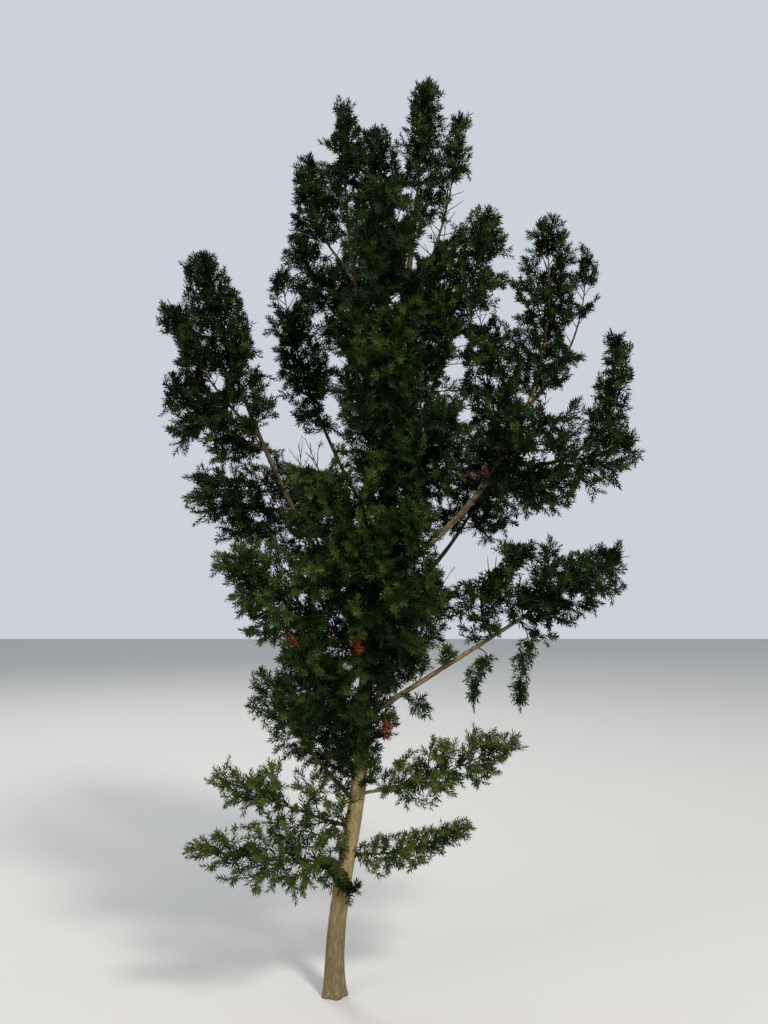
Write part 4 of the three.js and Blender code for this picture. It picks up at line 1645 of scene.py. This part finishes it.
@dataclass
class Crown:
    """All the twigs and needles, grown limb by limb and joined by region.

    Attributes:
        framework: The limbs' lines and rooms.
        tone_edges: The painted brightness from which each tone but the darkest starts.
        outward_light: How much brighter twigs are painted outwards in their room, so that painted shade
            darkens the inside of a mass.
        even_depth: How far out a twig is as bright as its limb.
        twig_light: How much twigs vary in brightness.
        shoot_light: How much shoots vary beside that.
        inner_scale: The size of the needles at the stem, beside the plain size.
        outer_from: From how far out they have their plain size.
        stem_from: The share of a stem from which it bears needles.
        sprig_from: The share of a sprig's stem from which it does.
        stem_points: How many points a stem is laid through.
        stem_steps: How many steps the needles' line on it has.
        turn_jitter: Degrees that the twigs' turns vary by.
        owner_turns: How many golden angles the twigs of one line are turned by against the next line's.
        overshoot: How far past the room's edge branchlets aim.
        usual_spread: The spread of a mass whose twigs have their plain length.
        spread_power: How much that length goes with the spread.
    """

    framework: Framework
    tone_edges: tuple[float, ...] = (0.15, 0.36, 0.60, 0.84)
    outward_light: float = 0.5
    even_depth: float = 0.75
    twig_light: float = 0.26
    shoot_light: float = 0.16
    inner_scale: float = 1.5
    outer_from: float = 0.8
    stem_from: float = 0.7
    sprig_from: float = 0.25
    stem_points: int = 25
    stem_steps: int = 6
    turn_jitter: float = 40.0
    owner_turns: int = 5
    overshoot: float = 1.1
    usual_spread: float = 0.19
    spread_power: float = 0.35

    def __post_init__(self) -> None:
        """Start with no lines."""
        self.leafy = {region: Strands() for region in Region}
        self.woody = {region: Strands() for region in Region}

    def stem(self, limb: Limb) -> Paths:
        """Give the stem of a mass as a batch of one.

        Args:
            limb: The limb that it ends.

        Returns:
            The batch.
        """
        line = self.framework.lines[limb.name]
        along = np.linspace(limb.bare, limb.length, self.stem_points)
        return Paths(line.point(along)[None], line.heading(along)[None],
                     np.array([limb.length - limb.bare]), np.array([limb.light]))

    def sprout(self, room: int, parents: Paths, order: Order, stream: SeededStream,
               vary_light: float) -> Paths:
        """Grow the next order of twigs on some wood.

        Args:
            room: The number of the limb whose room they keep to.
            parents: The wood that they stand on.
            order: How they stand.
            stream: The mass's stream of random numbers.
            vary_light: How much one differs in brightness from the wood that it stands on.

        Returns:
            The twigs that fit, cut to the room.
        """
        limb = LIMBS[room]
        span = order.span[1] - order.span[0]
        counts = np.rint(parents.lengths * span / (order.spacing * closeness(limb)))
        counts = np.maximum(1, counts).astype(int)
        total = int(counts.sum())
        owner = np.repeat(np.arange(len(counts)), counts)
        nth = np.arange(total) - np.repeat(np.cumsum(counts) - counts, counts)
        draws = stream.draw(DRAWS_PER_TWIG * total).reshape(DRAWS_PER_TWIG, total)
        stagger, twist, tilt, shortening, brightness, outermost = draws
        part = (nth + 0.5 + STAGGER * (stagger - 0.5)) / counts[owner]
        share = order.span[0] + span * part ** order.crowd
        roots, forward = parents.at(owner, share)
        turns = GOLDEN_ANGLE * (nth + self.owner_turns * owner + room + 1)
        outward = sideways(forward, turns + self.turn_jitter * (twist - 0.5))
        pitch = np.radians(mix(*order.pitch, share) + order.jitter * (tilt - 0.5))[:, None]
        heading = unit(forward * np.cos(pitch) + outward * np.sin(pitch) + UP * order.lift)
        if order.length is None:
            lengths = limb.spread * self.framework.fullness(share) / np.sin(pitch[:, 0]) * self.overshoot
        else:
            lengths = mix(*order.length, share) * (limb.spread / self.usual_spread) ** self.spread_power
        lengths = lengths * (1 - order.vary * shortening)
        fraction = np.linspace(0, 1, order.steps + 1)[None, :, None]
        headings = unit(heading[:, None, :] + UP * order.curl * fraction)
        steps = headings[:, :-1] * (lengths / order.steps)[:, None, None]
        roots = roots[:, None, :]
        points = np.concatenate([roots, roots + np.cumsum(steps, axis=1)], axis=1)
        light = parents.light[owner] + vary_light * (brightness - 0.5)
        return self._cut(room, Paths(points, headings, lengths, light), order, mix(*order.edge, outermost))

    def _cut(self, room: int, paths: Paths, order: Order, edge: np.ndarray) -> Paths:
        """Cut twigs where they leave their room or meet a gap, and drop the ones that get too short.

        A branchlet may cross a gap, but doesn't end in one.

        Args:
            room: The number of the limb whose room it is.
            paths: The twigs.
            order: Their order.
            edge: How far out each may reach, as a share of the room's reach.

        Returns:
            The twigs that are left.
        """
        outer = paths.points[:, 1:].reshape(-1, 3)
        inside = self.framework.holds(room, outer, np.repeat(edge, order.steps))
        in_gap = self.framework.in_gap(outer)
        if order is BRANCHLET:
            in_gap &= np.repeat(self.framework.in_gap(paths.points[:, -1]), order.steps)
        inside &= ~in_gap
        reach = np.cumprod(inside.reshape(-1, order.steps), axis=1).sum(axis=1) / order.steps
        keep = np.flatnonzero(paths.lengths * reach >= order.least)
        return paths.stretch(keep, 0.0, reach[keep], order.steps)

    def _tones(self, paths: Paths, depths: np.ndarray) -> np.ndarray:
        """Deal a tone to each twig, by its light and by how far out in its room it lies: painted sun on lit
        limbs, painted shade deep inside a mass.

        Args:
            paths: The twigs.
            depths: How far out the tip of each lies in its room.

        Returns:
            The number of each twig's tone.
        """
        # Painted light: the limb's sun or shade, and painted shade deeper in the room, pick the tone.
        tones = np.digitize(paths.light + self.outward_light * (depths - self.even_depth), self.tone_edges)
        middles = paths.points.mean(axis=1)
        for spot in DEAD_SPOTS:
            tones[np.linalg.norm(middles - spot, axis=1) < DEAD_REACH] = Tone.DEAD.value
        return tones

    def _bear(self, room: int, paths: Paths) -> None:
        """Let some lines bear needles, which are larger and fewer deep inside the mass.

        Args:
            room: The number of the limb whose room it is.
            paths: The lines.
        """
        open_to_sky = self.framework.in_gap(paths.points.reshape(-1, 3)).reshape(paths.points.shape[:2])
        paths = paths.stretch(np.flatnonzero(~open_to_sky.any(axis=1)), 0.0, 1.0, paths.points.shape[1] - 1)
        depths = self.framework.crowding(paths.points[:, -1])[:, room]
        inward = np.clip((self.outer_from - depths) / self.outer_from, 0, 1)
        scales = mix(1.0, self.inner_scale, inward)[:, None]
        self.leafy[LIMBS[room].region].add(paths, self._tones(paths, depths), scales)

    def _keep(self, room: int, paths: Paths, order: Order) -> None:
        """Gather a batch's wood, and the stretch of it that bears needles.

        Args:
            room: The number of the limb whose room it is.
            paths: The batch.
            order: Its order.
        """
        everything = np.arange(len(paths.lengths))
        woody = paths.stretch(everything, 0.0, 1.0, order.wood_steps)
        tones = np.full(len(everything), order.wood.value)
        self.woody[LIMBS[room].region].add(woody, tones, np.linspace(*order.girth, order.wood_steps + 1))
        self._bear(room, paths.stretch(everything, order.needles, 1.0, order.steps))

    def grow(self, room: int) -> None:
        """Grow one mass, order by order.

        Args:
            room: The number of its limb.
        """
        limb = LIMBS[room]
        stream = SeededStream(room + 1)
        stem = self.stem(limb)
        branchlets = stem
        if not limb.sprig:
            branchlets = self.sprout(room, stem, BRANCHLET, stream, 0.0)
            self._keep(room, branchlets, BRANCHLET)
            self._keep(room, self.sprout(room, stem, INNER, stream, self.twig_light), INNER)
        twigs = self.sprout(room, branchlets, TWIG, stream, self.twig_light)
        shoots = self.sprout(room, twigs, SHOOT, stream, self.shoot_light)
        self._keep(room, twigs, TWIG)
        self._keep(room, shoots, SHOOT)
        leafy_from = self.sprig_from if limb.sprig else self.stem_from
        self._bear(room, stem.stretch(np.array([0]), leafy_from, 1.0, self.stem_steps))
        LOG.info("%s: %d branchlets, %d twigs, %d shoots", limb.name, len(branchlets.lengths),
                 len(twigs.lengths), len(shoots.lengths))

    def build(self, needles: NeedleTree, wood: TwigTree) -> None:
        """Grow every mass, and make a piece of twigs and a piece of needles for each region.

        Args:
            needles: The tree of nodes that sets the needles.
            wood: The tree of nodes that draws the twigs.
        """
        for room in range(len(LIMBS)):
            self.grow(room)
        for region in Region:
            name = region.value
            lines = self.woody[region].mesh(f"{name}_twig_lines")
            report(wood.grow(f"{name}_twigs", lines), "bough_bark")
            lines = self.leafy[region].mesh(f"{name}_needle_lines")
            nodes = [f"{limb.name}_needles" for limb in LIMBS if limb.region is region and not limb.sprig]
            report(needles.grow(f"{name}_foliage", lines), "needles", *nodes)


# Studio


@dataclass(frozen=True)
class SoftLight:
    """A large square lamp that looks at the crown."""

    name: str
    at: tuple[float, float, float]
    size: float
    watts: float
    colour: tuple[float, float, float] = (1.0, 1.0, 1.0)

    def build(self, target: Vector) -> None:
        """Hang the lamp.

        Args:
            target: The point that it looks at.
        """
        data = bpy.data.lights.new(self.name, "AREA")
        data.size = self.size
        data.energy = self.watts
        data.color = self.colour
        lamp = add_object(self.name, data)
        lamp.location = self.at
        lamp.rotation_euler = (target - Vector(self.at)).to_track_quat("-Z", "Y").to_euler()


@dataclass
class Studio:
    """The plain pale floor, the soft lights and the camera at eye level.

    The tilt is counted from straight down, and the sensor's side is in millimetres.
    """

    camera_at: tuple[float, float, float] = VIEWER
    tilt: float = 90.0 + LOOKS_UP
    sensor: float = 36.0
    focal_pixels: float = FOCAL_PIXELS
    picture_pixels: float = 2.0 * PICTURE_MIDDLE[1]
    aim: tuple[float, float, float] = (0.25, 0.0, 2.2)
    floor_half: float = 30.0
    floor_colour: tuple[float, float, float] = (0.47, 0.46, 0.44)
    patch_colour: tuple[float, float, float] = (0.42, 0.42, 0.42)
    patches: float = 0.8
    patch_share: float = 0.12
    floor_roughness: float = 0.9
    floor_specular: float = 0.5
    air: tuple[float, float, float] = (0.80, 0.86, 0.94)
    air_strength: float = 0.75
    lamps: tuple[SoftLight, ...] = (
        SoftLight("key", (8.2, -12.5, 15.5), 3.4, 4200.0, (1.0, 0.95, 0.86)),
        SoftLight("fill", (-8.4, -7.2, 6.0), 6.0, 420.0),
        SoftLight("rim", (-4.5, 9.5, 11.0), 5.0, 800.0),
    )

    def build(self, mottle: bpy.types.NodeTree) -> None:
        """Set up the floor, the air, the lamps and the camera.

        Args:
            mottle: The group that gives soft patches.
        """
        self._floor(mottle)
        world = bpy.data.worlds.new("air")
        world.use_nodes = True
        background = world.node_tree.nodes["Background"]
        background.inputs["Color"].default_value = (*self.air, 1.0)
        background.inputs["Strength"].default_value = self.air_strength
        bpy.context.scene.world = world
        for lamp in self.lamps:
            lamp.build(Vector(self.aim))
        data = bpy.data.cameras.new("camera")
        data.sensor_width = self.sensor
        data.lens = self.sensor * self.focal_pixels / self.picture_pixels
        camera = add_object("camera", data)
        camera.location = self.camera_at
        camera.rotation_euler = (math.radians(self.tilt), 0.0, 0.0)
        bpy.context.scene.camera = camera
        bpy.context.scene.view_settings.view_transform = "Standard"

    def _floor(self, mottle: bpy.types.NodeTree) -> None:
        """Lay the pale floor, with the faintest mottling.

        Args:
            mottle: The group that gives soft patches.
        """
        half = self.floor_half
        mesh = bpy.data.meshes.new("floor")
        mesh.from_pydata([(-half, -half, 0), (half, -half, 0), (half, half, 0), (-half, half, 0)],
                         [], [(0, 1, 2, 3)])
        material, shader = principled("pale_floor", self.floor_roughness, self.floor_specular)
        tree = material.node_tree
        patches = mottled(tree, mottle, self.patches, self.patch_share)
        colour = colour_mix(tree, patches, (*self.floor_colour, 1.0), (*self.patch_colour, 1.0))
        tree.links.new(colour, shader.inputs["Base Color"])
        mesh.materials.append(material)
        floor = add_object("floor", mesh)


def main() -> None:
    """Build the studio and the tree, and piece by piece."""
    logging.basicConfig(level=logging.INFO, format="%(name)s %(message)s")
    mottle = mottle_group()
    Studio().build(mottle)
    framework = Framework(TrunkForm())
    Trunk(framework).build(TRUNK_FINISH.material(mottle))
    Boughs(framework).build(SUNLIT_BOUGH_FINISH.material(mottle), SHADED_BOUGH_FINISH.material(mottle))
    needles = NeedleTree([NEEDLE_FINISHES[tone].material() for tone in Tone])
    twigs = TwigTree([TWIG_FINISHES[wood].material() for wood in Wood])
    Crown(framework).build(needles, twigs)


if __name__ == "__main__":
    main()
